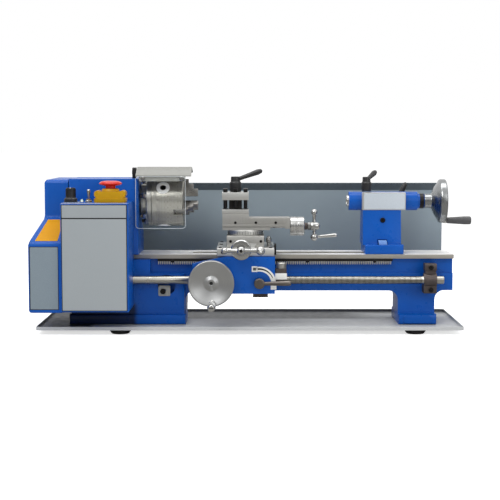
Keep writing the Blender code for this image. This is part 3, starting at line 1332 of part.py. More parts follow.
def build():
    root = make_pivot("lathe_frame", (0.0, 0.0, 0.0))
    root.location = (-FOOTPRINT_X * MM, -FOOTPRINT_Y * MM, WAY_TOP * MM)
    for make in (chip_tray, feet, bed, rack, splash_guard, headstock, spindle_bearings,
                 control_box, gear_cover, motor, drive_belt, leadscrew_bearing, controls,
                 motor_drive, feed_gears, range_lever, chuck_guard):
        make(root)
    turning = make_pivot("spindle_turn", (HEAD_RIGHT, *SPINDLE), root)
    for make in (spindle, spindle_pulley, chuck, chuck_scroll, chuck_jaws):
        make(turning)
    carriage = make_pivot("carriage_move", (0.0, 0.0, 0.0), root)
    for make in (saddle, apron, carriage_handwheel, rack_pinion, half_nut_lever, half_nuts,
                 thread_dial, cross_feed_crank):
        make(carriage)
    cross = cross_slide(carriage)
    swivel = compound_base(cross)
    top = top_slide(swivel)
    for make in (top_slide_crank, tool_post, tool_clamp_lever):
        make(top)
    tail = tailstock(root)
    for make in (quill, tailstock_handwheel, tailstock_levers):
        make(tail)
    bpy.context.view_layer.update()


clear_scene()
PARTS = make_collection("metal_lathe")
CUTTERS = make_collection("cutters")
PIVOTS = make_collection("pivots")
build()
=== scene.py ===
# %% [markdown]
# # A bench metal lathe
#
# This lesson dresses the working model of a small metal lathe: a machine that turns a piece of
# metal against a cutting tool.  The castings are painted iron, the slides are ground steel, and
# the handles are turned.  The CAD frame already has every moving body in its place, so each
# cell here makes one piece in more detail, gives it a finish and lets it ride on its body.
#
# Everything is drawn in millimetres from one home point, the way a fitter measures a lathe: X runs
# along the bed from the middle of the chip tray, Y is counted from the spindle's axis and Z from
# the top of the ways.

# %% Load the frame
import json
import math

import bmesh
import bpy
from mathutils import Matrix, Vector


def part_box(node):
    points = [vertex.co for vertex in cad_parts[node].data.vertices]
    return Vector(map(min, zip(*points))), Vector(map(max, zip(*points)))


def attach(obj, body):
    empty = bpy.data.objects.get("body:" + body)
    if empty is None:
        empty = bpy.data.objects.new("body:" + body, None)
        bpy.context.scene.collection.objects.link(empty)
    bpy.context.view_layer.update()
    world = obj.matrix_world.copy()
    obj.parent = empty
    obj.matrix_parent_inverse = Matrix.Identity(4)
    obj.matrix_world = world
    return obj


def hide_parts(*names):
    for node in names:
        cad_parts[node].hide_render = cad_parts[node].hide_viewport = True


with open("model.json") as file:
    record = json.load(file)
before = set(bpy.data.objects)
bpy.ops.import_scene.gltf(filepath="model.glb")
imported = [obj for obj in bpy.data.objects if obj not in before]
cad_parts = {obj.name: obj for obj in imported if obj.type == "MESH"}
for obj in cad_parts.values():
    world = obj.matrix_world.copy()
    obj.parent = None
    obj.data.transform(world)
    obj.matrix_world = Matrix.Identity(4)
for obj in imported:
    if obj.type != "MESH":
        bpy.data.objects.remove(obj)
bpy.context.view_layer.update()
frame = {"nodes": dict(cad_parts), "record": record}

# %% [markdown]
# ## Home point and units
#
# The home point could be typed in, but then it would go wrong the first time that the frame was
# packed again.  It is read from the CAD boxes: the tray gives the middle, the spindle gives the
# axis and the bed gives the height of the ways.

# %% Home point
MM = 0.001
tray_low, tray_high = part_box("chip_tray")
spindle_low, spindle_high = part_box("spindle")
HOME = Vector(((tray_low.x + tray_high.x) / 2, (spindle_low.y + spindle_high.y) / 2,
               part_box("bed")[1].z))
CENTRE = round((spindle_low.z + spindle_high.z) / 2 / MM - HOME.z / MM, 2)
SIDES = 96
LEFT, RIGHT, FRONT, BACK, UP = (-1, 0, 0), (1, 0, 0), (0, -1, 0), (0, 1, 0), (0, 0, 1)
WELD, FLAT = 0.002, math.radians(0.6)


def span(node):
    """A CAD node's lowest and highest corners, in millimetres from the home point."""
    return [(Vector(corner) - HOME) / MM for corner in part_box(node)]


print(f"the spindle is {CENTRE} mm above the ways")

# %% [markdown]
# ## Shapes
#
# A lathe is a good subject for a few honest shapes.  Round pieces are profiles spun about an
# axis, castings are slabs and blocks joined and cut with exact Booleans, and every edge that a
# hand could touch is rounded a little, because a perfectly sharp edge never catches the light.

# %% Blocks, slabs and bars
def block(x, y, z, rounding=0.0, along="XYZ"):
    """A box between limits, its edges along the named axes rounded."""
    shape = bmesh.new()
    bmesh.ops.create_cube(shape, size=1.0)
    for vert in shape.verts:
        vert.co = Vector([pair[0] if value < 0 else pair[1]
                          for pair, value in zip((x, y, z), vert.co)])
    if rounding > 0.0:
        edges = []
        for edge in shape.edges:
            way = edge.verts[1].co - edge.verts[0].co
            if "XYZ"[max(range(3), key=lambda i: abs(way[i]))] in along:
                edges.append(edge)
        bmesh.ops.bevel(shape, geom=edges, offset=rounding, segments=4, profile=0.5,
                        affect="EDGES")
    return shape


def slab(outline, plane, low, high):
    """A flat outline given thickness along the axis that its plane leaves out."""
    shape = bmesh.new()
    axes = ["XYZ".index(letter) for letter in plane]
    third = 3 - sum(axes)
    rings = []
    for level in (low, high):
        ring = []
        for u, v in outline:
            place = [0.0, 0.0, 0.0]
            place[axes[0]], place[axes[1]], place[third] = u, v, level
            ring.append(shape.verts.new(place))
        rings.append(ring)
    count = len(outline)
    shape.faces.new(rings[0])
    shape.faces.new(rings[1][::-1])
    for i in range(count):
        j = (i + 1) % count
        shape.faces.new((rings[0][i], rings[1][i], rings[1][j], rings[0][j]))
    bmesh.ops.recalc_face_normals(shape, faces=shape.faces)
    return shape


def rounded(u, v, radius, steps=8):
    """The outline of a rectangle with round corners."""
    points = []
    corners = ((u[1], v[1], 0), (u[0], v[1], 90), (u[0], v[0], 180), (u[1], v[0], 270))
    for a, b, start in corners:
        centre = (a - math.copysign(radius, a - sum(u) / 2),
                  b - math.copysign(radius, b - sum(v) / 2))
        for i in range(steps + 1):
            turn = math.radians(start + 90 * i / steps)
            points.append((centre[0] + radius * math.cos(turn),
                           centre[1] + radius * math.sin(turn)))
    return points


def facing(direction):
    """The rotation that takes +Z to a direction."""
    return Vector(UP).rotation_difference(Vector(direction)).to_matrix().to_4x4()


def turned(profile, origin, direction, sides=SIDES, soft=0.0, steps=3):
    """Spin (radius, distance) points about an axis; soft rounds the corners of the profile."""
    points = [Vector((radius, distance)) for radius, distance in profile]
    closed = profile[0][0] > 0.0
    line = []
    for i, point in enumerate(points):
        inner = closed or 0 < i < len(points) - 1
        before = points[i - 1] - point
        after = points[(i + 1) % len(points)] - point
        reach = min(soft, before.length * 0.45, after.length * 0.45)
        if not inner or reach < 0.02 or before.angle(after, 3.1) > math.radians(165):
            line.append(point)
            continue
        start = point + before.normalized() * reach
        end = point + after.normalized() * reach
        for k in range(steps + 1):
            t = k / steps
            line.append(start * (1 - t) ** 2 + point * (2 * t * (1 - t)) + end * t ** 2)
    shape = bmesh.new()
    rings = []
    for radius, distance in line:
        if radius < 0.001:
            rings.append([shape.verts.new((0.0, 0.0, distance))] * sides)
            continue
        rings.append([shape.verts.new((radius * math.cos(2 * math.pi * k / sides),
                                       radius * math.sin(2 * math.pi * k / sides), distance))
                      for k in range(sides)])
    pairs = list(zip(rings, rings[1:]))
    if closed:
        pairs.append((rings[-1], rings[0]))
    for low, high in pairs:
        for k in range(sides):
            j = (k + 1) % sides
            corners = []
            for vert in (low[k], low[j], high[j], high[k]):
                if vert not in corners:
                    corners.append(vert)
            if len(corners) > 2:
                shape.faces.new(corners)
    bmesh.ops.recalc_face_normals(shape, faces=shape.faces)
    shape.transform(Matrix.Translation(origin) @ facing(direction))
    return shape


def rod(start, end, radius, sides=48, tip=None, soft=0.4):
    """A round bar between two points, a cone if tip gives another radius at its end."""
    start, end = Vector(start), Vector(end)
    length = (end - start).length
    last = radius if tip is None else tip
    return turned([(0, 0), (radius, 0), (last, length), (0, length)], start,
                  end - start, sides, soft)


def ball(centre, radius):
    """A smooth ball."""
    shape = bmesh.new()
    bmesh.ops.create_uvsphere(shape, u_segments=40, v_segments=24, radius=radius)
    bmesh.ops.translate(shape, vec=centre, verts=shape.verts)
    return shape


# %% [markdown]
# ## Joining, cutting and softening
#
# Castings are joined and cut with Booleans on scratch objects, which are then thrown away.  The
# softening comes last, because a Boolean makes new sharp edges where its operands meet.

# %% Booleans and soft edges
def scratch(shape):
    mesh = bpy.data.meshes.new("scratch")
    shape.to_mesh(mesh)
    shape.free()
    obj = bpy.data.objects.new("scratch", mesh)
    bpy.context.scene.collection.objects.link(obj)
    return obj


def evaluated(obj, scraps):
    """The shape that an object's modifiers make; its scratch objects are then removed."""
    done = bpy.data.meshes.new_from_object(
        obj.evaluated_get(bpy.context.evaluated_depsgraph_get()))
    shape = bmesh.new()
    shape.from_mesh(done)
    bpy.data.meshes.remove(done)
    for scrap in scraps:
        mesh = scrap.data
        bpy.data.objects.remove(scrap)
        bpy.data.meshes.remove(mesh)
    return shape


def combine(base, joins=(), cuts=()):
    """Join shapes to a base, then cut others away, with exact Booleans."""
    body = scratch(base)
    tools = [body]
    for operation, shapes in (("UNION", joins), ("DIFFERENCE", cuts)):
        for shape in shapes:
            tool = scratch(shape)
            tools.append(tool)
            step = body.modifiers.new(operation, "BOOLEAN")
            step.operation = operation
            step.solver = "EXACT"
            step.object = tool
    shape = evaluated(body, tools)
    bmesh.ops.remove_doubles(shape, verts=shape.verts, dist=WELD)
    return shape


def soften(shape, width, angle=40, steps=3):
    """Round every edge sharper than an angle."""
    bmesh.ops.dissolve_limit(shape, angle_limit=FLAT, verts=shape.verts, edges=shape.edges)
    edges = [edge for edge in shape.edges
             if len(edge.link_faces) == 2 and edge.calc_face_angle() > math.radians(angle)]
    bmesh.ops.bevel(shape, geom=edges, offset=width, segments=steps, profile=0.6,
                    affect="EDGES", clamp_overlap=True)
    return shape


def from_cad(node):
    """A CAD node's own shape in millimetres, its loose triangles joined."""
    shape = bmesh.new()
    shape.from_mesh(frame["nodes"][node].data)
    shape.transform(Matrix.Scale(1 / MM, 4) @ Matrix.Translation(-HOME))
    bmesh.ops.remove_doubles(shape, verts=shape.verts, dist=WELD)
    bmesh.ops.dissolve_limit(shape, angle_limit=FLAT, verts=shape.verts, edges=shape.edges)
    return shape


def together(*shapes):
    """Several closed shapes in one mesh."""
    whole = bmesh.new()
    for shape in shapes:
        mesh = bpy.data.meshes.new("part")
        shape.to_mesh(mesh)
        shape.free()
        whole.from_mesh(mesh)
        bpy.data.meshes.remove(mesh)
    return whole


# %% [markdown]
# ## Finished pieces
#
# A finished piece keeps its object at the origin, with its place in its mesh.  It rides on a
# body of the frame, and it may stand in for a CAD node, which then only serves the physics.

# %% Finish a piece
body_of_node = {node: body for body, nodes in frame["record"]["behaviour"]["bodies"].items()
                for node in nodes}
made = []


def finish_piece(name, shape, finish, node, stands_for=True, pick=None, crease=38):
    """Turn a shape into a piece that rides on a node's body and may stand for the node.

    finish is a material or a list of them; pick(face) gives a face its place in the list.
    """
    finishes = finish if isinstance(finish, list) else [finish]
    if pick:
        for face in shape.faces:
            face.material_index = pick(face)
    shape.transform(Matrix.Translation(HOME) @ Matrix.Scale(MM, 4))
    mesh = bpy.data.meshes.new(name)
    shape.to_mesh(mesh)
    shape.free()
    mesh.shade_smooth()
    mesh.set_sharp_from_angle(angle=math.radians(crease))
    for material in finishes:
        mesh.materials.append(material)
    piece = bpy.data.objects.new(name, mesh)
    bpy.context.scene.collection.objects.link(piece)
    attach(piece, body_of_node[node])
    if stands_for:
        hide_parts(node)
    made.append(piece)
    return piece


def add_on(name, shape, finish, node, **more):
    """A piece that adds detail to a body and stands for no CAD node."""
    return finish_piece(name, shape, finish, node, stands_for=False, **more)


def plate(u, v, radius, plane, low, high, soft, steps=3):
    """A thin plate with round corners and slightly soft edges."""
    return soften(slab(rounded(u, v, radius, steps), plane, low, high), soft)


# %% [markdown]
# ## Effects that the finishes share
#
# A finish is more than a colour.  Paint has a faint orange peel, ground steel has straight fine
# scratches and turned steel has rings about its axis.  Each effect is a node group with its own
# sliders, built once and then placed in every material that needs it.  The groups only put out
# values, so each material still holds its own shader.

# %% Node group helpers
SOCKET_KINDS = {float: "NodeSocketFloat", int: "NodeSocketInt", tuple: "NodeSocketVector"}


def sliders(tree, values):
    """Give a node group one named input for each value."""
    for name, value in values.items():
        slider = tree.interface.new_socket(name=name, socket_type=SOCKET_KINDS[type(value)])
        slider.default_value = value


def node(tree, kind, inputs=None, **settings):
    """Add a node; an input takes a number or another node's socket."""
    new = tree.nodes.new(kind)
    for key, value in settings.items():
        setattr(new, key, value)
    for key, value in (inputs or {}).items():
        if isinstance(value, bpy.types.NodeSocket):
            tree.links.new(value, new.inputs[key])
        else:
            new.inputs[key].default_value = value
    return new


def out(tree, kind, inputs=None, socket=0, **settings):
    """Add a node and give back one of its outputs."""
    return node(tree, kind, inputs, **settings).outputs[socket]


def maths(tree, operation, a, b=0.0):
    return out(tree, "ShaderNodeMath", {0: a, 1: b}, operation=operation)


def vectors(tree, operation, a, b, socket=0):
    return out(tree, "ShaderNodeVectorMath", {0: a, 1: b}, socket, operation=operation)


def scaled(tree, vector, share):
    return out(tree, "ShaderNodeVectorMath", {0: vector, "Scale": share}, operation="SCALE")


def xyz(tree, x=0.0, y=0.0, z=0.0):
    return out(tree, "ShaderNodeCombineXYZ", {"X": x, "Y": y, "Z": z})


def own_place(tree):
    """Where a point of the surface is, in the piece's own frame."""
    return out(tree, "ShaderNodeTexCoord", None, "Object")


def noise(tree, vector, size, detail, roughness, **settings):
    """Random values from 0 to 1 that change over a distance of about size."""
    return out(tree, "ShaderNodeTexNoise",
               {"Vector": vector, "Scale": maths(tree, "DIVIDE", 1.0, size), "Detail": detail,
                "Roughness": roughness}, **settings)


def remap(tree, value, from_low, from_high, low, high, **settings):
    """Stretch a value from one range to another."""
    return out(tree, "ShaderNodeMapRange",
               {"Value": value, "From Min": from_low, "From Max": from_high, "To Min": low,
                "To Max": high}, **settings)


def start_effect(name, **values):
    """A shader node group; gives the tree and its sliders."""
    tree = bpy.data.node_groups.new(name, "ShaderNodeTree")
    sliders(tree, values)
    tree.interface.new_socket(name="Value", in_out="OUTPUT", socket_type="NodeSocketFloat")
    return tree, tree.nodes.new("NodeGroupInput").outputs


def end_effect(tree, value):
    tree.links.new(value, tree.nodes.new("NodeGroupOutput").inputs["Value"])


# %% Effect: mottle, a soft random change between two values
mottle, given = start_effect("mottle", Size=0.02, Low=0.0, High=1.0)
cloud = noise(mottle, own_place(mottle), given["Size"], 4.0, 0.6)
end_effect(mottle, remap(mottle, cloud, 0.3, 0.7, given["Low"], given["High"]))

# %% Effect: scratches, fine straight lines along one direction
scratches, given = start_effect("scratches", Along=(0.02, 1.0, 1.0), Width=0.0004)
drawn_out = vectors(scratches, "MULTIPLY", own_place(scratches), given["Along"])
end_effect(scratches, noise(scratches, drawn_out, given["Width"], 3.0, 0.7))

# %% Effect: turning rings, lines about an axis through a centre
rings, given = start_effect("turning_rings", Centre=(0.0, 0.0, 0.0), Axis=(1.0, 0.0, 0.0),
                            Width=0.0005)
arm = vectors(rings, "SUBTRACT", own_place(rings), given["Centre"])
height = vectors(rings, "DOT_PRODUCT", arm, given["Axis"], "Value")
spoke = vectors(rings, "SUBTRACT", arm, scaled(rings, given["Axis"], height))
radius = out(rings, "ShaderNodeVectorMath", {0: spoke}, "Value", operation="LENGTH")
end_effect(rings, noise(rings, xyz(rings, radius, height), given["Width"], 2.0, 0.6,
                        noise_dimensions="2D"))
print("effects:", mottle.name, scratches.name, rings.name)

# %% [markdown]
# ## Finishes
#
# Each finish starts from one Principled shader.  Colours are written as the eye sees them, in
# the usual 0 to 255 steps, and turned into the linear values that light works with.

# %% Start a finish
def seen(red, green, blue):
    """A screen colour as linear light."""
    return tuple((value / 255 / 12.92) if value < 11 else ((value / 255 + 0.055) / 1.055) ** 2.4
                 for value in (red, green, blue)) + (1.0,)


def finish(name, colour, roughness, metallic=0.0, **extra):
    """A Principled material; extra names other shader sockets, with _ for a space."""
    material = bpy.data.materials.new(name)
    material.use_nodes = True
    shader = material.node_tree.nodes["Principled BSDF"]
    extra.update(Base_Color=colour, Roughness=roughness, Metallic=metallic)
    for key, value in extra.items():
        shader.inputs[key.replace("_", " ")].default_value = value
    return material, material.node_tree, shader


def effect(tree, group, **values):
    """Place one of the shared effects in a material."""
    return out(tree, "ShaderNodeGroup", values, "Value", node_tree=group)


def drive(made_finish, colour, change, shade, ramp, rough, height, depth):
    """Let values drive a finish: its shade, its roughness and its relief, depth in metres.

    The colour runs from a darker one, by the share change, to itself over the ramp.
    """
    material, tree, shader = made_finish
    blend = node(tree, "ShaderNodeValToRGB", {"Fac": shade})
    dark = tuple(channel * change for channel in colour[:3]) + (1.0,)
    for stop, position, tint in zip(blend.color_ramp.elements, ramp, (dark, colour)):
        stop.position = position
        stop.color = tint
    bump = out(tree, "ShaderNodeBump", {"Height": height, "Distance": depth})
    for value, name in ((blend.outputs["Color"], "Base Color"), (rough, "Roughness"),
                        (bump, "Normal")):
        tree.links.new(value, shader.inputs[name])
    return material


WHOLE, MIDDLE = (0.0, 1.0), (0.3, 0.7)


# %% Painted iron and sheet
def enamel(name, colour, roughness=0.3, peel=0.0009, depth=0.00003, change=0.88, coat=0.3):
    """Sprayed enamel: a faint orange peel, a little change of shade, a thin clear gloss."""
    started = finish(name, colour, roughness, Coat_Weight=coat, Coat_Roughness=0.12,
                     Specular_IOR_Level=0.22)
    tree = started[1]
    rough = effect(tree, mottle, Size=0.012, Low=roughness - 0.05, High=roughness + 0.08)
    return drive(started, colour, change, effect(tree, mottle, Size=0.05), WHOLE, rough,
                 effect(tree, mottle, Size=peel), depth)


def fade(tree, axis, start, end):
    """A value that runs from 0 to 1 between two places along X, Y or Z, in millimetres."""
    place = out(tree, "ShaderNodeSeparateXYZ", {0: own_place(tree)}, axis)
    zero = getattr(HOME, axis.lower())
    return remap(tree, place, zero + start * MM, zero + end * MM, 0.0, 1.0,
                 interpolation_type="SMOOTHSTEP")


def paint_in_shade(material, colour, *patches):
    """Darken the paint in patches, a painted shade where shadow falls; each patch is a few fades
    that have to hold together.
    """
    tree = material.node_tree
    paint = tree.nodes["Principled BSDF"].inputs["Base Color"]
    worst = 0.0
    for patch in patches:
        share = 1.0
        for axis, start, end in patch:
            share = maths(tree, "MULTIPLY", share, fade(tree, axis, start, end))
        worst = maths(tree, "MAXIMUM", worst, share)
    shade = out(tree, "ShaderNodeMix", {"Factor": worst, "A": paint.links[0].from_socket,
                                        "B": colour}, "Result", data_type="RGBA")
    tree.links.new(shade, paint)


blue_enamel = enamel("blue_enamel", seen(4, 84, 176), 0.3, coat=0.06)
cover_enamel = enamel("cover_enamel", seen(4, 82, 172), 0.36, 0.0014, 0.00003, coat=0.05)
guard_paint = enamel("guard_paint", seen(146, 159, 167), 0.5, 0.0012, 0.00002, 0.96, 0.0)
tray_paint = enamel("tray_paint", seen(186, 188, 189), 0.4, 0.0012, 0.00002, 0.95, 0.0)
# Painted shade darkens the tray's floor towards its rear lip, under the bed left of the right leg,
# and under the control box.
paint_in_shade(tray_paint, seen(82, 84, 87), [("Y", 62, 111)], [("Y", 0, 26), ("X", 255, 150)],
     [("X", -262, -276), ("Y", -116, -104)])
bed_enamel = enamel("bed_enamel", seen(4, 84, 176), 0.3, coat=0.06)
# Painted shade darkens the bed's plinth under the control box.
paint_in_shade(bed_enamel, seen(16, 36, 72), [("X", -190, -200), ("Z", -80, -88)])
plate_paint = enamel("plate_paint", seen(154, 154, 149), 0.35, 0.0012, 0.00002, 0.95, 0.0)
motor_paint = enamel("motor_paint", seen(38, 39, 42), 0.45, 0.0016, 0.00008, 0.8, 0.0)


# %% Ground and turned steel
def ground(name, colour, roughness, along, width=0.0006, depth=0.000003, metallic=1.0):
    """Flat ground steel: straight scratches, a little duller here and there."""
    started = finish(name, colour, roughness, metallic)
    lines = effect(started[1], scratches, Along=along, Width=width)
    rough = effect(started[1], mottle, Size=0.02, Low=roughness - 0.06, High=roughness + 0.08)
    return drive(started, colour, 0.86, lines, MIDDLE, rough, lines, depth)


def lathe_cut(name, colour, roughness, centre, axis, width=0.0006, depth=0.000004,
              contrast=0.88, metallic=1.0):
    """Turned steel: rings about the axis that the piece was turned on."""
    started = finish(name, colour, roughness, metallic)
    lines = effect(started[1], rings, Centre=HOME + Vector(centre) * MM, Axis=axis, Width=width)
    rough = remap(started[1], lines, 0.3, 0.7, roughness + 0.08, roughness - 0.05)
    return drive(started, colour, contrast, lines, MIDDLE, rough, lines, depth)


# The ways' tops, the upper slot faces and the chuck's key rings get a white steel without metal
# shine, a painted sheen in place of a bright reflection.  The ways' sides and the deeper slot get
# a darker copy, a painted shade.
painted_sheen_steel = ground("painted_sheen_steel", seen(255, 254, 252), 0.4, (0.015, 1.0, 1.0), depth=0.0000002,
                   metallic=0.0)
shaded_way = ground("shaded_way_steel", seen(190, 186, 178), 0.42, (0.015, 1.0, 1.0))
slide_steel = ground("slide_steel", seen(188, 187, 182), 0.45, (1.0, 0.02, 1.0))
plate_steel = ground("plate_steel", seen(214, 214, 211), 0.4, (0.02, 1.0, 1.0))
polished = lathe_cut("polished_steel", seen(186, 186, 184), 0.16, (0, 0, 0), RIGHT, 0.002,
                     0.000001, 0.95)


# %% Blackened metal, cast parts, plastics and rubber
def grained(name, colour, roughness, metallic, size, depth, change=0.7, **extra):
    """A grainy surface, such as blackened steel, cast metal, moulded plastic or rubber."""
    started = finish(name, colour, roughness, metallic, **extra)
    tree = started[1]
    grain = effect(tree, mottle, Size=size)
    rough = remap(tree, grain, 0.0, 1.0, roughness - 0.05, roughness + 0.08)
    return drive(started, colour, change, effect(tree, mottle, Size=size * 12), WHOLE, rough,
                 grain, depth)


black_steel = grained("black_steel", seen(46, 44, 44), 0.36, 0.85, 0.0012, 0.00002)
bracket_steel = grained("bracket_steel", seen(96, 88, 86), 0.5, 0.8, 0.0016, 0.00006)
lever_metal = grained("lever_metal", seen(120, 113, 108), 0.34, 0.9, 0.003, 0.00002)
black_plastic = grained("black_plastic", seen(30, 30, 32), 0.42, 0.0, 0.0007, 0.00003)
lever_black = grained("lever_black", seen(34, 34, 35), 0.36, 0.0, 0.0009, 0.00004)
grip_grey = grained("grip_grey", seen(84, 84, 86), 0.38, 0.0, 0.0009, 0.00003)
yellow_plastic = grained("yellow_plastic", seen(196, 148, 4), 0.36, 0.0, 0.0008, 0.00002, 0.88,
                         Specular_IOR_Level=0.25)
red_plastic = grained("red_plastic", seen(206, 32, 20), 0.26, 0.0, 0.002, 0.00001, 0.9,
                      Specular_IOR_Level=0.35)
# A darker copy of the red plastic, a painted shade for the ring under the stop mushroom's cap.
red_painted_shade = grained("red_painted_shade", seen(150, 34, 20), 0.5, 0.0, 0.002, 0.00001, 0.8)
rubber = grained("rubber", seen(26, 26, 27), 0.75, 0.0, 0.0009, 0.00006)
white_print = grained("white_print", seen(236, 236, 232), 0.5, 0.0, 0.001, 0.000004, 0.96)
ink = grained("black_ink", seen(20, 20, 22), 0.5, 0.0, 0.001, 0.000004, 0.9)
yellow_sticker = grained("yellow_sticker", seen(216, 150, 0), 0.45, 0.0, 0.001, 0.00001, 0.95,
                         Specular_IOR_Level=0.15)
key_blue = grained("light_blue_paint", seen(120, 165, 232), 0.4, 0.0, 0.001, 0.00002, 0.9)
lamp_lens = grained("lamp_lens", seen(196, 222, 196), 0.2, 0.0, 0.002, 0.00001, 0.9)
brass = grained("brass", seen(205, 176, 110), 0.3, 1.0, 0.002, 0.00001, 0.85)


# %% Label plates: bare aluminium with a fine satin speckle
def satin_plate(name, colour):
    started = finish(name, colour, 0.42, 0.35)
    speckle = effect(started[1], mottle, Size=0.0008)
    rough = effect(started[1], mottle, Size=0.004, Low=0.36, High=0.5)
    return drive(started, colour, 0.86, speckle, WHOLE, rough, speckle, 0.000006)


silver_plate = satin_plate("silver_plate", seen(168, 175, 179))
table_plate = satin_plate("table_plate", seen(138, 152, 162))
tail_plate = satin_plate("tail_plate", seen(206, 215, 224))

# %% The guard's clear plastic
window_plastic = finish("window_plastic", (0.97, 0.985, 0.985, 1.0), 0.0,
                        Transmission_Weight=1.0, IOR=1.06)[0]
window_edge = grained("window_edge", seen(206, 212, 214), 0.25, 0.0, 0.004, 0.00001, 0.97)
print(f"{len(bpy.data.materials)} finishes")

# %% [markdown]
# ## Camera, floor and light
#
# The machine is seen from the operator's side, from a step back and a little above the spindle,
# with a long lens so that the bed stays straight.  The floor is pale and keeps a soft shadow.
# Large lamps give the long soft highlights that make turned steel look like steel.

# %% Camera
EYE_BACK, EYE_UP, EYE_TILT = 2300.0, 195.9, 4.77
eye = bpy.data.cameras.new("operator_view")
eye.lens = 94.9
eye.sensor_width = 36.0
camera = bpy.data.objects.new("operator_view", eye)
camera.location = HOME + Vector((0.0, -EYE_BACK, EYE_UP)) * MM
camera.rotation_euler = (math.radians(90.0 - EYE_TILT), 0.0, 0.0)
bpy.context.scene.collection.objects.link(camera)
bpy.context.scene.camera = camera

# %% Floor that stays white to the eye and keeps a shadow
WHITE, FLOOR_WHITE, FLOOR_MIRRORED = (1.0,) * 4, (0.86, 0.86, 0.86, 1.0), (0.4, 0.39, 0.37, 1.0)
FLOOR_GLOW = 0.66


def eye_sees(tree, path):
    """1 where the eye looks, straight or through the clear guard."""
    return maths(tree, "MAXIMUM", path["Is Camera Ray"], path["Is Transmission Ray"])


mesh = bpy.data.meshes.new("floor")
grid = bmesh.new()
bmesh.ops.create_grid(grid, x_segments=1, y_segments=1, size=30.0)
grid.to_mesh(mesh)
grid.free()
floor = bpy.data.objects.new("floor", mesh)
bpy.context.scene.collection.objects.link(floor)
material, tree, shader = finish("floor_white", FLOOR_WHITE, 0.9, Specular_IOR_Level=0.0,
                                Emission_Color=WHITE)
path = node(tree, "ShaderNodeLightPath").outputs
shade = out(tree, "ShaderNodeMix", {"Factor": path["Is Glossy Ray"], "A": FLOOR_WHITE,
                                    "B": FLOOR_MIRRORED}, "Result", data_type="RGBA")
tree.links.new(shade, shader.inputs["Base Color"])
tree.links.new(maths(tree, "MULTIPLY", eye_sees(tree, path), FLOOR_GLOW),
               shader.inputs["Emission Strength"])
mesh.materials.append(material)

# %% [markdown]
# The surroundings are white to the eye and half as bright as a light.  Polished metal would
# look like plaster if it mirrored white on every side, so what it mirrors is white behind the
# machine and overhead, and dark on the operator's side, as in a real studio.

# %% White surroundings with a dark side for reflections
world = bpy.data.worlds.new("studio")
world.use_nodes = True
bpy.context.scene.world = world
sky = world.node_tree
sky.nodes.clear()
path = node(sky, "ShaderNodeLightPath").outputs
level = remap(sky, eye_sees(sky, path), 0.0, 1.0, 0.5, 1.0)
heading = node(sky, "ShaderNodeSeparateXYZ",
               {0: out(sky, "ShaderNodeTexCoord", None, "Generated")}).outputs
behind = remap(sky, heading["Y"], -0.25, 0.55, 0.3, 1.0, interpolation_type="SMOOTHSTEP")
above = remap(sky, heading["Z"], 0.15, 0.6, 0.0, 1.0, interpolation_type="SMOOTHSTEP")
strength = out(sky, "ShaderNodeMix", {0: path["Is Glossy Ray"], 2: level,
                                      3: maths(sky, "MAXIMUM", behind, above)})
backdrop = out(sky, "ShaderNodeBackground", {"Color": WHITE, "Strength": strength})
node(sky, "ShaderNodeOutputWorld", {"Surface": backdrop})


# %% Soft lamps
def lamp(name, place, aim, size, power):
    light = bpy.data.lights.new(name, "AREA")
    light.shape = "RECTANGLE"
    light.size, light.size_y = size
    light.energy = power
    obj = bpy.data.objects.new(name, light)
    obj.location = place
    obj.rotation_euler = (Vector(aim) - Vector(place)).to_track_quat("-Z", "Y").to_euler()
    bpy.context.scene.collection.objects.link(obj)


lamp("key", (-0.9, -1.5, 1.7), (0.0, 0.0, 0.15), (1.4, 0.9), 21.0)
lamp("fill", (1.3, -1.7, 0.9), (0.0, 0.0, 0.1), (1.2, 1.2), 9.0)
lamp("top", (0.0, 0.1, 1.8), (0.0, 0.0, 0.1), (2.0, 0.8), 17.0)
bpy.context.scene.view_settings.view_transform = "Standard"
print("camera, floor, surroundings and 3 lamps")

# %% [markdown]
# ## Parts that repeat
#
# Screws, rack teeth, threads and graduations repeat one small shape along a rule.  Geometry Nodes
# say that rule once.  Four trees do it all: fasteners at points, teeth along a line, a thread
# along a helix, and marks round an axis.  A tree's result is turned into a plain mesh, because
# an exported model keeps meshes, not modifiers.

# %% Helpers for the trees
def start_tree(name, **values):
    """A geometry tree that takes a shape, sliders and a finish."""
    tree = bpy.data.node_groups.new(name, "GeometryNodeTree")
    face = tree.interface
    face.new_socket(name="Geometry", socket_type="NodeSocketGeometry")
    sliders(tree, values)
    face.new_socket(name="Finish", socket_type="NodeSocketMaterial")
    face.new_socket(name="Geometry", in_out="OUTPUT", socket_type="NodeSocketGeometry")
    return tree, tree.nodes.new("NodeGroupInput").outputs


def end_tree(tree, given, kind, inputs):
    """Repeat a shape with a last node, make it real and give it its finish."""
    real = out(tree, "GeometryNodeRealizeInstances", {"Geometry": out(tree, kind, inputs)})
    dressed = out(tree, "GeometryNodeSetMaterial",
                  {"Geometry": real, "Material": given["Finish"]})
    tree.links.new(dressed, tree.nodes.new("NodeGroupOutput").inputs[0])
    return tree


def grow(tree, sizes, base=None):
    """Run a tree on a base shape and give back its result as a plain shape."""
    holder = scratch(base or bmesh.new())
    growth = holder.modifiers.new(tree.name, "NODES")
    growth.node_group = tree
    for item in tree.interface.items_tree:
        if item.in_out == "INPUT" and item.name in sizes:
            growth[item.identifier] = sizes[item.name]
    return evaluated(holder, [holder])


def spots(direction, places):
    """Points for fasteners whose heads face one direction."""
    shape = bmesh.new()
    facing_layer = shape.verts.layers.float_vector.new("facing")
    for place in places:
        shape.verts.new(place)[facing_layer] = Vector(direction)
    return shape


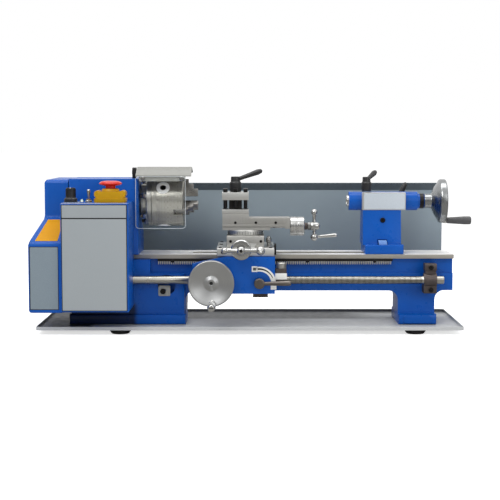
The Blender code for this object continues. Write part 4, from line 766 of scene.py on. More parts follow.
# %% Tree: fasteners with a chamfered head and a hexagon socket
tree, given = start_tree("fasteners", Radius=4.0, Height=4.0, Sides=24,
                                       Socket=2.0, Depth=2.0)
shank = maths(tree, "MULTIPLY", given["Height"], 0.8)
head = node(tree, "GeometryNodeMeshCylinder",
            {"Vertices": given["Sides"], "Radius": given["Radius"], "Depth": shank}).outputs
crown = node(tree, "GeometryNodeExtrudeMesh",
             {"Mesh": head["Mesh"], "Selection": head["Top"],
              "Offset Scale": maths(tree, "MULTIPLY", given["Height"], 0.2)}).outputs
narrowed = out(tree, "GeometryNodeScaleElements",
               {"Geometry": crown["Mesh"], "Selection": crown["Top"], "Scale": 0.86})
raised = out(tree, "GeometryNodeTransform",
             {"Geometry": narrowed,
              "Translation": xyz(tree, z=maths(tree, "MULTIPLY", shank, 0.5))})
key = out(tree, "GeometryNodeMeshCylinder",
          {"Vertices": 6, "Radius": given["Socket"],
           "Depth": maths(tree, "MULTIPLY", given["Depth"], 2.0)})
key_top = out(tree, "GeometryNodeTransform",
              {"Geometry": key, "Translation": xyz(tree, z=given["Height"])})
drilled = out(tree, "GeometryNodeMeshBoolean", {"Mesh 1": raised, "Mesh 2": key_top},
              operation="DIFFERENCE", solver="EXACT")
heading = out(tree, "GeometryNodeInputNamedAttribute", {"Name": "facing"}, "Attribute",
              data_type="FLOAT_VECTOR")
turned_to = out(tree, "FunctionNodeAlignRotationToVector", {"Vector": heading}, axis="Z")
fastener = end_tree(tree, given, "GeometryNodeInstanceOnPoints",
         {"Points": given["Geometry"], "Instance": drilled, "Rotation": turned_to})

# %% Tree: teeth along a bar, each narrower at its lower edge
tree, given = start_tree("rack_teeth", Length=100.0, Pitch=3.14, Width=9.0,
                                    Depth=4.0)
count = out(tree, "FunctionNodeFloatToInt",
            {0: maths(tree, "DIVIDE", given["Length"], given["Pitch"])})
row = out(tree, "GeometryNodeMeshLine", {"Count": count, "Offset": xyz(tree, given["Pitch"])})
tooth = out(tree, "GeometryNodeMeshCube",
            {"Size": xyz(tree, maths(tree, "MULTIPLY", given["Pitch"], 0.6), given["Width"],
                         given["Depth"])})
corner = node(tree, "ShaderNodeSeparateXYZ", {0: out(tree, "GeometryNodeInputPosition")}).outputs
lower = maths(tree, "LESS_THAN", corner["Z"], 0.0)
pull = maths(tree, "MULTIPLY", maths(tree, "MULTIPLY", corner["X"], lower), -0.55)
tapered = out(tree, "GeometryNodeSetPosition", {"Geometry": tooth, "Offset": xyz(tree, pull)})
teeth = end_tree(tree, given, "GeometryNodeInstanceOnPoints", {"Points": row, "Instance": tapered})

# %% Tree: a thread, a small diamond swept along a helix
tree, given = start_tree("thread", Radius=6.0, Pitch=1.5, Length=100.0, Depth=0.5,
                                     Steps=16)
helix = out(tree, "GeometryNodeCurveSpiral",
            {"Resolution": given["Steps"],
             "Rotations": maths(tree, "DIVIDE", given["Length"], given["Pitch"]),
             "Start Radius": given["Radius"], "End Radius": given["Radius"],
             "Height": given["Length"]})
ridge = out(tree, "GeometryNodeCurvePrimitiveCircle",
            {"Resolution": 4, "Radius": given["Depth"]})
thread = end_tree(tree, given, "GeometryNodeCurveToMesh",
         {"Curve": helix, "Profile Curve": ridge, "Fill Caps": True})

# %% Tree: marks round an axis, every fifth longer and every tenth longer still
tree, given = start_tree("marks_round", Radius=10.0, Count=40, Sweep=1.0,
                                    Mark=(0.2, 0.2, 2.0), Grow=(0.0, 0.0, 1.0),
                                    Anchor=(0.0, 0.0, 0.5))
ring = out(tree, "GeometryNodeMeshCircle",
           {"Vertices": given["Count"], "Radius": given["Radius"]})
unit = out(tree, "GeometryNodeMeshCube", {"Size": (1.0, 1.0, 1.0)})
anchored = out(tree, "GeometryNodeTransform",
               {"Geometry": unit, "Translation": given["Anchor"]})
number = out(tree, "GeometryNodeInputIndex")
fifth, tenth = [maths(tree, "LESS_THAN", maths(tree, "MODULO", number, every), 0.5)
                for every in (5.0, 10.0)]
longer = scaled(tree, given["Grow"], maths(tree, "ADD", fifth, tenth))
angle = maths(tree, "MULTIPLY", number, maths(tree, "DIVIDE", 2 * math.pi, given["Count"]))
within = maths(tree, "LESS_THAN", number,
               maths(tree, "MULTIPLY", given["Count"], given["Sweep"]))
marks = end_tree(tree, given, "GeometryNodeInstanceOnPoints",
         {"Points": ring, "Selection": within, "Instance": anchored,
          "Rotation": xyz(tree, z=angle), "Scale": vectors(tree, "ADD", given["Mark"], longer)})
print("trees:", fastener.name, teeth.name, thread.name, marks.name)


# %% Put grown parts in place
def aimed(shape, origin, direction, roll=0.0):
    """Move a shape made about +Z to an axis elsewhere."""
    shape.transform(Matrix.Translation(origin) @ facing(direction)
                    @ Matrix.Rotation(math.radians(roll), 4, "Z"))
    return shape


def screws(name, node_name, finish, radius, height, socket_radius, direction, places,
           sides=24, depth=None):
    """A set of screw or nut heads on one body, all facing one direction."""
    shape = grow(fastener, {"Radius": radius, "Height": height, "Sides": sides,
                            "Socket": socket_radius, "Depth": depth or height * 0.6,
                            "Finish": finish}, spots(direction, places))
    return add_on(name, shape, finish, node_name, crease=30)


def graduations(name, node_name, origin, direction, radius, count, mark, step=0.0,
                anchor=(0.0, 0.0, 0.5), finish=ink, sweep=1.0, roll=0.0):
    """Marks or ribs round an axis; each fifth one is longer by step, along its anchor."""
    grown = tuple(step if part else 0.0 for part in anchor)
    shape = grow(marks, {"Radius": radius, "Count": count, "Sweep": sweep, "Mark": mark,
                         "Grow": grown, "Anchor": anchor, "Finish": finish})
    return add_on(name, aimed(shape, origin, direction, roll), finish, node_name)


def dress(finish, *nodes):
    """Give a carried-over CAD node its finish."""
    for name in nodes:
        for place in frame["nodes"][name].material_slots:
            place.material = finish


def leaf(corners, thickness):
    """A thin flat piece with its corners on a surface, its thickness outwards."""
    shape = bmesh.new()
    points = [Vector(point) for point in corners]
    normal = (points[1] - points[0]).cross(points[2] - points[0]).normalized()
    low = [shape.verts.new(point) for point in points]
    high = [shape.verts.new(point + normal * thickness) for point in points]
    shape.faces.new(low[::-1])
    shape.faces.new(high)
    for i in range(len(points)):
        j = (i + 1) % len(points)
        shape.faces.new((low[i], low[j], high[j], high[i]))
    return shape


# %% [markdown]
# ## The stand: tray, feet and bed
#
# The chip tray is folded from one sheet, with painted shade on its floor and rear lip.  The bed is
# an iron casting.  Its ways are ground, with a painted sheen on top and painted shade on their
# sides, and everything below them is painted, with painted shade under the control box.  A casting
# keeps the shape of the CAD, which is copied, welded, given soft edges and then its finishes.

# %% Tray and feet
rear_lip = span("chip_tray")[1].y - 5.0
# The tray's rear lip gets a darker grey than the tray's own paint, a painted shade.
rear_lip_shade = grained("rear_lip_painted_shade", seen(92, 94, 97), 0.45, 0.0, 0.0012, 0.00003, 0.9)
finish_piece("folded_tray", soften(from_cad("chip_tray"), 0.5), [tray_paint, rear_lip_shade],
             "chip_tray", pick=lambda face: int(min(vert.co.y for vert in face.verts) > rear_lip))
for place in ("front_left", "front_right", "rear_left", "rear_right"):
    low, high = span(f"foot_{place}")
    middle = (low + high) / 2
    foot = turned([(4, low.z + 3), (4, low.z + 0.6), (5, low.z), (14, low.z), (15.2, low.z + 1),
                   (18, high.z - 2.6), (18, high.z), (4, high.z)], (middle.x, middle.y, 0), UP, 64,
                  0.5)
    finish_piece(f"rubber_foot_{place}", foot, rubber, f"foot_{place}")

# %% Bed
WAY_DEPTH = 7.6
SLOT_HALF, SLOT_SHEEN = 15.0, 14.0
PAINTED, SHEEN, SHADED = 0, 1, 2


def way_finish(face):
    """Paint below the ways; on them a painted sheen on top and near the top of the slot between,
    and painted shade on their sides and deeper in the slot.
    """
    bottom = min(vert.co.z for vert in face.verts)
    if max(abs(vert.co.y) for vert in face.verts) < SLOT_HALF:
        return SHEEN if bottom > -SLOT_SHEEN else SHADED
    if bottom < -WAY_DEPTH:
        return PAINTED
    return SHEEN if face.normal.z > 0.7 else SHADED


finish_piece("bed_casting", soften(from_cad("bed"), 1.1), [bed_enamel, painted_sheen_steel, shaded_way], "bed",
             pick=way_finish)
add_on("leg_foot_pad", plate((262.5, 309.5), (-116.5, -103), 4, "XZ", -66.6, -64, 0.9, 8),
       blue_enamel, "bed")
clip = combine(slab(rounded((-157, -136.5), (-70.5, -52.5), 2), "XZ", -56.3, -54.6),
               cuts=[rod((-146.5, -60, -60.5), (-146.5, -50, -60.5), 2.6)])
add_on("cable_clip_plate", soften(clip, 0.25), plate_paint, "bed")
screws("bed_clip_screw", "bed", black_steel, 4.6, 3.2, 2.2, FRONT, [(-149.0, -56.2, -62.5)])

# %% Rack
rack_low, rack_high = span("rack")
TOOTH_PITCH = 3.14
root_z = rack_low.z + 5.2
bar = block((rack_low.x, rack_high.x), (rack_low.y, rack_high.y), (root_z, rack_high.z), 0.4)
finish_piece("rack_bar", bar, black_steel, "rack")
length = rack_high.x - rack_low.x - 3.0
rack_teeth = grow(teeth, {"Length": length, "Pitch": TOOTH_PITCH, "Finish": plate_steel,
                          "Depth": root_z - rack_low.z + 0.3,
                          "Width": rack_high.y - rack_low.y - 0.3})
rack_teeth.transform(Matrix.Translation((rack_low.x + 2.0, (rack_low.y + rack_high.y) / 2,
                                         (root_z + rack_low.z) / 2 + 0.15)))
add_on("rack_cut_teeth", rack_teeth, plate_steel, "rack")
screws("rack_screws", "rack", black_steel, 2.9, 1.2, 1.5, FRONT,
       [(x, rack_low.y + 0.4, -11.4) for x in (-133.0, -17.0, 98.5, 214.0)])

# %% Leadscrew and its right-hand bearing
screw_low, screw_high = span("leadscrew")
screw_axis = (-62.0, -42.2)
left_end, thread_left, thread_right = screw_low.x, -100.0, 294.0
core = [(0.0, left_end), (6.9, left_end), (6.9, thread_left), (6.35, thread_left + 0.8),
        (6.35, thread_right - 0.8), (6.9, thread_right), (6.9, screw_high.x - 1.2),
        (5.9, screw_high.x), (0.0, screw_high.x)]
leadscrew_steel = ground("leadscrew_steel", seen(188, 185, 176), 0.3, (0.01, 1.0, 1.0), 0.002,
                         0.00000002)
thread_steel = lathe_cut("thread_steel", seen(74, 68, 56), 0.4, (0, *screw_axis), RIGHT, 0.0008,
                         0.000002, 0.7)
shaft = combine(turned(core, (0, *screw_axis), RIGHT, 64),
                cuts=[rod((screw_high.x - 6, screw_axis[0], screw_axis[1] - 9),
                          (screw_high.x - 6, screw_axis[0], screw_axis[1] + 9), 2, 24)])
finish_piece("leadscrew_shaft", shaft, leadscrew_steel, "leadscrew")
helix_shape = grow(thread, {"Radius": 6.4, "Pitch": 1.5, "Depth": 0.42,
                            "Length": thread_right - thread_left - 2.0, "Steps": 20,
                            "Finish": thread_steel})
add_on("leadscrew_thread", aimed(helix_shape, (thread_left + 1.0, *screw_axis), RIGHT),
       thread_steel, "leadscrew", crease=30)
finish_piece("leadscrew_end_block", soften(from_cad("leadscrew_bearing"), 0.7), bracket_steel,
             "leadscrew_bearing")
screws("end_block_screws", "leadscrew_bearing", black_steel, 4.2, 2.6, 2.1, FRONT,
       [(308.0, -68.0, -20.4), (308.0, -69.0, -58.5)])

# %% Splash guard
fold = 104.5
# Above the fold the guard sheet gets a darker copy of its paint, a painted shade.
flange_painted_shade = enamel("flange_painted_shade", seen(94, 104, 110), 0.45, 0.0012, 0.00004, 0.94, 0.0)
finish_piece("splash_sheet", soften(from_cad("splash_guard"), 0.35), [guard_paint, flange_painted_shade],
             "splash_guard", pick=lambda face: int(face.calc_center_median().z > fold))
screws("splash_guard_screws", "splash_guard", bracket_steel, 3.6, 2.4, 1.7, BACK,
       [(x, 110.1, -40.0) for x in (-135.0, 285.0)])
print(f"stand: {len(made)} pieces so far")

# %% [markdown]
# ## Headstock, gear cover and motor
#
# The headstock casting carries the spindle in two bearings.  A moulded cover hides the belt and
# the change gears at its left end.  Both are painted blue; the cover's paint is a little
# coarser, as on a moulding.  Labels stay blank; the plate on the cover's front has a thin dark
# border.

# %% Headstock and cover
HEAD_TOP, HEAD_DROP = 131.3, 1.8
COVER_TOP, COVER_RISE = 126.5, 1.6
head = combine(from_cad("headstock"), cuts=[block((-216, -205.5), (0, 30), (HEAD_TOP + 0.1, 160))])
for vert in head.verts:
    if abs(vert.co.z - HEAD_TOP) < 0.15:
        vert.co.z -= HEAD_DROP
finish_piece("headstock_casting", soften(head, 1.4), [blue_enamel, black_steel], "headstock",
             pick=lambda face: int(face.calc_center_median().z > HEAD_TOP - 0.9))
cover = from_cad("gear_cover")
for vert in cover.verts:
    if vert.co.z > COVER_TOP:
        vert.co.z += COVER_RISE
finish_piece("moulded_gear_cover", soften(cover, 1.2, 20, 2), cover_enamel, "gear_cover")


def on_slope(x, share, lift=0.05):
    """A point on the cover's slanted front face, share of the way up it."""
    low, high = Vector((0.0, -150.0, 28.0)), Vector((0.0, -58.0, 65.0))
    normal = (high - low).cross(Vector((-1.0, 0.0, 0.0))).normalized()
    point = low.lerp(high, share) + normal * lift
    return (x, point.y, point.z)


sticker = leaf([on_slope(-353, 0.07), on_slope(-316, 0.07), on_slope(-316, 0.9),
                on_slope(-342.5, 0.9)], 0.25)
add_on("blank_yellow_sticker", sticker, yellow_sticker, "gear_cover")
add_on("table_plate_border", plate((-361.5, -314), (-82.5, 22), 1, "XZ", -150.35, -149.9, 0.1),
       ink, "gear_cover")
add_on("table_plate_blank",
       plate((-360.3, -314.9), (-81.3, 20.8), 0.8, "XZ", -150.6, -150.2, 0.12), table_plate,
       "gear_cover")
screws("cover_screws", "gear_cover", black_steel, 4.0, 1.1, 2.0, LEFT,
       [(-363.9, y, z) for y, z in ((-120.0, 8.0), (70.0, 8.0), (-120.0, -66.0), (70.0, -66.0))])

# %% Motor with end caps and cooling slots
motor_axis = (69.0, -50.0)
motor_low, motor_high = span("motor")
motor_left, motor_right = motor_low.x + 6, motor_high.x
shell = [(0.0, motor_left + 1), (13.0, motor_left + 1), (14.0, motor_left), (33.0, motor_left),
         (36.0, motor_left + 3), (36.0, motor_left + 22), (34.6, motor_left + 23),
         (34.6, motor_right - 23), (36.0, motor_right - 22), (36.0, motor_right - 3),
         (33.0, motor_right), (0.0, motor_right)]
mount = block((motor_left + 15, motor_right - 15), (30.4, 60), (-68, -32), 2)
finish_piece("motor_shell", together(turned(shell, (0, *motor_axis), RIGHT, 72, 1), mount,
                                     rod((motor_left - 5.5, *motor_axis),
                                         (motor_left + 2, *motor_axis), 12)), motor_paint, "motor")
# The cooling slots are dark blocks on the motor's end cap, painted shade where the openings are.
graduations("motor_slot_painted_shade", "motor", (motor_right, *motor_axis), RIGHT, 25.0, 16,
            (9.0, 2.6, 1.2), anchor=(0.0, 0.0, 0.0))
graduations("motor_ribs", "motor", (motor_left + 25, *motor_axis), RIGHT, 34.4, 40,
            (1.6, 1.6, motor_right - motor_left - 50), finish=motor_paint)
dress(rubber, "drive_belt")
dress(slide_steel, "motor_pulley", "spindle_pulley", "tumbler_gear", "idler_gear",
      "leadscrew_gear", "rear_spindle_bearing", "front_spindle_bearing")

# %% High and low range lever at the back
lever_x, lever_z = -250.0, 60.0
lever_back = 58.3
boss = turned([(0, 0), (11, 0), (11, 7), (9, 10), (0, 10)], (lever_x, lever_back, lever_z), BACK,
              48, 0.8)
stalk = rod((lever_x, lever_back + 6, lever_z), (lever_x, lever_back + 7.4, lever_z + 34), 4.4, 32,
            3.4)
grip = ball((lever_x, lever_back + 8, lever_z + 38), 7.5)
pin_front = span("range_lever")[0].y
inner_pin = rod((lever_x, pin_front, lever_z), (lever_x, lever_back + 2, lever_z), 4.9, 32)
finish_piece("range_lever_body", together(boss, stalk, grip, inner_pin), lever_black,
             "range_lever")
screws("range_lever_screw", "range_lever", bracket_steel, 4.0, 1.6, 2.0, BACK,
       [(lever_x, lever_back + 9.6, lever_z)])

# %% [markdown]
# ## Control box
#
# A folded sheet box with a speed knob, a direction toggle and the main switch on top.  Its
# front is covered by two satin aluminium plates in a black border, left blank here.

# %% Box and its plates
finish_piece("control_box_shell", soften(from_cad("control_box"), 1.0, 30, 2), blue_enamel,
             "control_box")
add_on("control_plate_border",
       plate((-307.6, -200.2), (-83.4, 91.4), 1.2, "XZ", -160.35, -159.9, 0.1), ink, "control_box")
plates = together(slab(rounded((-306.2, -201.6), (69.8, 90), 0.6, 3), "XZ", -160.6, -160.2),
                  slab(rounded((-306.2, -201.6), (-82, 67.6), 0.6, 3), "XZ", -160.6, -160.2))
add_on("control_plates_blank", soften(plates, 0.12), silver_plate, "control_box")
# A bright steel strip along the box's top front edge is a painted highlight of that edge.
top_edge_highlight = block((-307, -201), (-158.6, -157), (92.8, 93.6), 0.25)
add_on("control_box_top_edge_highlight", top_edge_highlight, plate_steel, "control_box")

# %% Speed knob over its ring of marks
knob_x, knob_y, deck = -297.0, -116.0, 93.3
knob = turned([(0, 23.2), (6.6, 23.2), (7.4, 24), (7.8, 22.8), (8.4, 7.5), (11, 5.6), (11, 0.4),
               (0, 0.4)], (knob_x, knob_y, deck), UP, 72, 0.6)
pointer = block((knob_x - 0.7, knob_x + 0.7), (knob_y - 7.6, knob_y - 1), (deck + 23, deck + 24.2),
                0.2)
finish_piece("speed_knob_body", knob, black_plastic, "speed_knob")
add_on("speed_knob_line", pointer, white_print, "speed_knob")
graduations("speed_knob_ribs", "speed_knob", (knob_x, knob_y, deck + 8.5), UP, 7.9, 30,
            (1.1, 0.75, 13.0), finish=black_plastic)
dial_plate = combine(slab(rounded((-308, -281), (-131, -100.5), 2), "XY", deck - 0.35,
                          deck + 0.15),
                     cuts=[rod((knob_x, knob_y, deck - 3), (knob_x, knob_y, deck + 3), 5)])
add_on("speed_dial_plate", dial_plate, silver_plate, "control_box")
graduations("speed_dial_marks", "control_box", (knob_x, knob_y, deck + 0.1), UP, 11.4, 30,
            (1.2, 0.45, 0.12), 0.7, (0.5, 0.0, 0.0), sweep=0.84, roll=-60.0)

# %% Lamp and toggle
lamp_x = -279.5
bezel = turned([(2.2, 0), (3.8, 0), (3.8, 1.2), (3, 2), (2.2, 2)], (lamp_x, -110, deck - 0.2), UP,
               40, 0.3)
lens = turned([(0, 0), (2.6, 0), (2.6, 2.6), (1.8, 4.2), (0, 4.8)], (lamp_x, -110, deck - 0.2), UP,
              40, 0.8)
add_on("power_lamp_bezel", bezel, polished, "control_box")
add_on("power_lamp_lens", lens, lamp_lens, "control_box")
toggle_x, pivot_z = -267.5, 92.0
bat = turned([(0, 0), (1.5, 0), (1.5, 8), (2.1, 12), (2.9, 20.5), (2.2, 22.2), (0, 22.6)],
             (toggle_x, knob_y, pivot_z), UP, 40, 0.9)
finish_piece("toggle_bat", together(bat, ball((toggle_x, knob_y, pivot_z), 3)), polished,
             "toggle_switch")
collar = turned([(3.1, 0.2), (5.6, 0.2), (5.6, 1.1), (3.9, 1.1), (3.9, 5.4), (3.1, 5.4)],
                (toggle_x, knob_y, deck - 0.3), UP, 48, 0.2)
add_on("toggle_threaded_collar", collar, brass, "control_box")
screws("toggle_nut", "control_box", polished, 5.6, 2.4, 3.2, UP, [(toggle_x, knob_y, deck + 0.7)],
       sides=6, depth=2.6)

# %% Main switch: yellow housing with two raised ends and a red mushroom
sx, sy = -231.0, -116.0
base = slab(rounded((sx - 26, sx + 26), (sy - 20, sy + 20), 6), "XY", deck, deck + 6.5)
upper = slab(rounded((sx - 24.4, sx + 24.4), (sy - 18.4, sy + 18.4), 7), "XY", deck + 5.5,
             deck + 18)
ends = []
for side in (-1, 1):
    low, high = sorted((sx + side * 15.5, sx + side * 25.6))
    ends.append(slab(rounded((low, high), (deck + 8, deck + 19.6), 4.8), "XZ", sy - 17, sy + 17))
housing = combine(base, [upper, *ends, turned([(0, 8), (16.5, 8), (15, 19), (13.2, 22.3),
                                               (0, 22.3)], (sx, sy, deck), UP, 64)],
                  [rod((sx, sy, deck - 3), (sx, sy, deck + 30), 9.6, 64)])
finish_piece("main_switch_housing", soften(housing, 1.5, 30, 3), yellow_plastic, "switch_housing")
# The ring under the mushroom's cap is painted shade, a darker copy of the red plastic.
skirt = turned([(8.8, 20.4), (12.4, 20.4), (12.4, 22.9), (8.8, 22.9)], (sx, sy, deck), UP, 64, 0.3)
add_on("main_switch_shade_ring", skirt, red_painted_shade, "switch_housing")
mushroom = turned([(0, 35.4), (10, 35.2), (15.5, 34.2), (19.1, 31.4), (18.7, 29.8), (12.5, 27.6),
                   (8.2, 27.2), (8.2, 5), (0, 5)], (sx, sy, deck), UP, 96, 1.2, 5)
finish_piece("stop_mushroom", mushroom, red_plastic, "stop_button")
print(f"headstock and controls: {len(made)} pieces so far")

# %% [markdown]
# ## Spindle, chuck and guard
#
# The chuck is turned all over, so its finish is rings about the spindle axis.  The body keeps
# the CAD's slots and key holes and gets a fine groove, a bright edge and a ring round each key,
# which is white steel with a painted sheen.
# The jaws are hardened and ground, with small cross teeth on each step.

# %% Spindle, flange and back plate
chuck_steel = lathe_cut("chuck_steel", seen(162, 159, 151), 0.3, (0, 0, CENTRE), RIGHT, 0.0009,
                        0.00000002, 0.97, 0.6)
plate_iron = lathe_cut("back_plate_iron", seen(170, 168, 163), 0.32, (0, 0, CENTRE), RIGHT, 0.0009,
                       0.0000025, 0.88)
jaw_steel = ground("jaw_steel", seen(158, 156, 152), 0.3, (0.03, 1.0, 1.0))
axis = (0, 0, CENTRE)
spindle_shape = turned([(10, -345), (12.4, -345), (13, -344.4), (13, -312), (15, -312),
                        (15, -188.2), (28.2, -188.2), (29, -187.4), (29, -179.4), (28.2, -178.6),
                        (14, -178.6), (14, -172), (10, -172)], axis, RIGHT, 96, 0.3)
finish_piece("spindle_turned", spindle_shape, chuck_steel, "spindle")
back = turned([(14.2, -178.2), (41.6, -178.2), (42.5, -177.3), (42.5, -170.2), (41.7, -169.4),
               (14.2, -169.4)], axis, RIGHT, 128, 0.3)
finish_piece("back_plate_turned", back, plate_iron, "chuck_back_plate")


def around(angle, x, radius):
    """A point round the spindle; 0 degrees is towards the operator, 90 is up."""
    turn = math.radians(angle)
    return Vector((x, -math.cos(turn) * radius, CENTRE + math.sin(turn) * radius))


nut_angles = [17 + 60 * k for k in range(6)]
screws("chuck_nuts", "chuck_back_plate", polished, 5.4, 6.0, 0.6, LEFT,
       [around(a, -178.2, 35.6) for a in nut_angles], sides=6, depth=0.4)
studs = together(*[turned([(0, 0), (2.9, 0), (2.9, 9.6), (2.2, 10.4), (0, 10.4)],
                          around(a, -178.4, 35.6), LEFT, 24, 0.3) for a in nut_angles])
add_on("chuck_studs", studs, bracket_steel, "chuck_back_plate")

# %% Chuck body
groove = turned([(41.9, -161), (44, -161), (44, -160.2), (41.9, -160.2)], axis, RIGHT, 128)
body = combine(from_cad("chuck_body"), cuts=[groove])
dark_slot = grained("slot_shadow_steel", seen(60, 56, 52), 0.5, 0.7, 0.0016, 0.00004)
finish_piece("chuck_body_turned", soften(body, 0.55, 30, 3), chuck_steel, "chuck_body")
# Each key ring gets the white steel, a painted sheen in place of polished steel's reflection.
for number, a in enumerate((35, 155, 275), 1):
    outward = (around(a, 0, 1) - around(a, 0, 0)).normalized()
    collar = turned([(5.1, -2.4), (11.6, -2.4), (11.6, 0.2), (10.8, 0.7), (6.2, 0.9), (5.1, 0.2)],
                    around(a, -149.4, 41.9), outward, 64, 0.15)
    add_on(f"key_ring_{number}", collar, painted_sheen_steel, "chuck_body")
dress(dark_slot, "chuck_pinion_1", "chuck_pinion_2", "chuck_pinion_3", "chuck_scroll")

# %% Jaws with ground steps and small cross teeth
NOTCH_PITCH = 3.2
for number, a in enumerate((-25, 95, 215), 1):
    jaw = from_cad(f"chuck_jaw_{number}")
    turn = math.radians(a)
    rise = Vector((0.0, -math.cos(turn), math.sin(turn)))
    side = Vector(RIGHT).cross(rise)
    cuts = []
    for radius, x_from, x_to in ((8.0, -113.0, -91.5), (20.0, -112.0, -99.5)):
        for k in range(int((x_to - x_from) / NOTCH_PITCH)):
            start = x_from + NOTCH_PITCH * k
            notch = block((start, start + 1), (-7, 7), (-0.8, 0.8))
            notch.transform(Matrix(((1, 0, 0, 0), (0, side.y, rise.y, rise.y * radius),
                                    (0, side.z, rise.z, CENTRE + rise.z * radius), (0, 0, 0, 1))))
            cuts.append(notch)
    finish_piece(f"ground_jaw_{number}", soften(combine(jaw, cuts=cuts), 0.3, 30, 2), jaw_steel,
                 f"chuck_jaw_{number}")

# %% Chuck guard and window
sheet = combine(from_cad("chuck_guard"), cuts=[block((-220, -206.5), (-5, 30), (120, 160))])
finish_piece("guard_sheet", soften(sheet, 0.3), [plate_paint, black_plastic], "chuck_guard",
             pick=lambda face: int(face.calc_center_median().x < -212.2))
window_low, window_high = span("chuck_guard_window")
pane = slab(rounded((window_low.x, window_high.x), (window_low.z, window_high.z), 6), "XZ",
            window_low.y, window_high.y)
finish_piece("guard_window", soften(pane, 0.35, 60, 2), window_plastic, "chuck_guard_window")
outer = rounded((window_low.x, window_high.x), (window_low.z, window_high.z), 6, 10)
inner = rounded((window_low.x + 0.7, window_high.x - 0.7),
                (window_low.z + 0.7, window_high.z - 0.7), 5.3, 10)
rim = combine(slab(outer, "XZ", window_low.y - 0.05, window_high.y + 0.05),
              cuts=[slab(inner, "XZ", window_low.y - 3, window_high.y + 3)])
add_on("guard_window_edge", rim, window_edge, "chuck_guard_window")
screws("guard_window_screws", "chuck_guard", polished, 3.6, 2.2, 1.6, FRONT,
       [(x, window_low.y, 130.4) for x in (-182.0, -116.0)])

# %% [markdown]
# ## Carriage
#
# The saddle slides on the ways and the painted apron hangs from it.  The handwheel moves it
# along the rack, and the lever on the right closes the half nuts on the leadscrew.

# %% Saddle and apron
finish_piece("saddle_ground", soften(from_cad("saddle"), 0.6), plate_steel, "saddle")
finish_piece("apron_casting", soften(from_cad("apron"), 2.2, 30, 4), blue_enamel, "apron")
oil_cup = turned([(0, 0.5), (1.6, 0.5), (2, 1), (3, 0.8), (3.2, 0), (0, 0)], (-46, -88, 7.4),
                 FRONT, 40, 0.2)
add_on("saddle_oil_cup", oil_cup, dark_slot, "saddle")
add_on("saddle_way_wiper", plate((-49, -22), (1, 14), 1.5, "YZ", 41.2, 43.6, 0.4), rubber,
       "saddle")
add_on("saddle_wiper_holder", plate((-64, -45.5), (1, 19.5), 2.5, "YZ", 41.4, 44.6, 0.4, 4),
       black_steel, "saddle")
screws("saddle_screws", "saddle", black_steel, 3.0, 1.6, 1.5, UP,
       [(x, y, 14.2) for x in (-50.0, 35.0) for y in (-82.0, -10.0, 44.0)])

# %% Carriage handwheel
wheel_x, wheel_z = -64.7, -42.1
wheel_steel = lathe_cut("handwheel_steel", seen(172, 173, 173), 0.34, (wheel_x, 0, wheel_z), BACK,
                        0.0009, 0.000004, 0.93)
wheel = turned([(0, 117), (3, 117), (3, 119), (6, 119.2), (9, 118), (13, 116.6), (14.4, 116.9),
                (20, 118.3), (30, 121.5), (35.8, 123.8), (37.4, 124.2), (38.6, 123.2),
                (38.6, 114.6), (36.8, 111.4), (13, 107.4), (12, 106.6), (12, 92.4), (6, 92.4),
                (6, 86.5), (0, 86.5)], (wheel_x, 0, wheel_z), FRONT, 128, 0.9, 4)
finish_piece("carriage_wheel_turned", wheel, wheel_steel, "carriage_handwheel")
# A black disc at the bottom of the small centre pocket is painted shade for the centre hole.
centre_hole_shade = turned([(0, 117.1), (2.9, 117.1), (2.9, 117.4), (0, 117.4)], (wheel_x, 0, wheel_z), FRONT,
              32)
add_on("carriage_wheel_hole_shade", centre_hole_shade, ink, "carriage_handwheel")
handle_x, handle_z = wheel_x + 2.0, wheel_z - 33.0
handle = turned([(0, 190), (4.6, 190), (6.4, 186.6), (7, 176), (6.8, 160), (5.2, 140), (4.6, 133),
                 (6.2, 131.5), (6.2, 127.5), (4.4, 126), (4.4, 116), (0, 116)],
                (handle_x, 0, handle_z), FRONT, 64, 1.2, 4)
add_on("carriage_wheel_handle", handle, polished, "carriage_handwheel")
# A dark bar on the handle's end is painted shade for its screw slot.
slot_shade = block((handle_x - 3.6, handle_x + 3.6), (-190.15, -189.6), (handle_z - 0.7, handle_z + 0.7),
             0.2)
add_on("carriage_handle_slot_shade", slot_shade, ink, "carriage_handwheel")
dress(slide_steel, "rack_pinion")
dress(bracket_steel, "upper_half_nut", "lower_half_nut")

# %% Half-nut lever and its plain scale
pivot_x, pivot_z = 15.7, -44.6
boss = turned([(0, 92.5), (9, 92.5), (9, 103.4), (7.4, 104.4), (0, 104.4)], (pivot_x, 0, pivot_z),
              FRONT, 64, 0.8)
arm = turned([(0, 4), (3.4, 4), (3.1, 12), (3.8, 30), (4.4, 48), (3.6, 53), (0, 54)],
             (pivot_x, -100.4, pivot_z), (54, 0, 1), 40, 1.5, 4)
inner_pin = rod((pivot_x, -84, pivot_z), (pivot_x, -96, pivot_z), 4.9, 32)
finish_piece("half_nut_lever_body", together(boss, arm, inner_pin), lever_metal, "half_nut_lever")


def arc_band(inner, outer, start, end, steps=28, taper=1.0):
    """A band round the lever's pivot; taper narrows it towards its end."""
    middle = (inner + outer) / 2
    half = (outer - inner) / 2
    near, far = [], []
    for k in range(steps + 1):
        share = k / steps
        turn = math.radians(start + (end - start) * share)
        width = half * (1 - share + share * taper)
        for line, radius in ((near, middle - width), (far, middle + width)):
            line.append((pivot_x + radius * math.cos(turn), pivot_z + radius * math.sin(turn)))
    return near + far[::-1]


SCALE_FACE = -92.15


def slab_here(outline, low, high):
    """A flat mark on the scale, between two places counted from its face."""
    return slab(outline, "XZ", SCALE_FACE + low, SCALE_FACE + high)


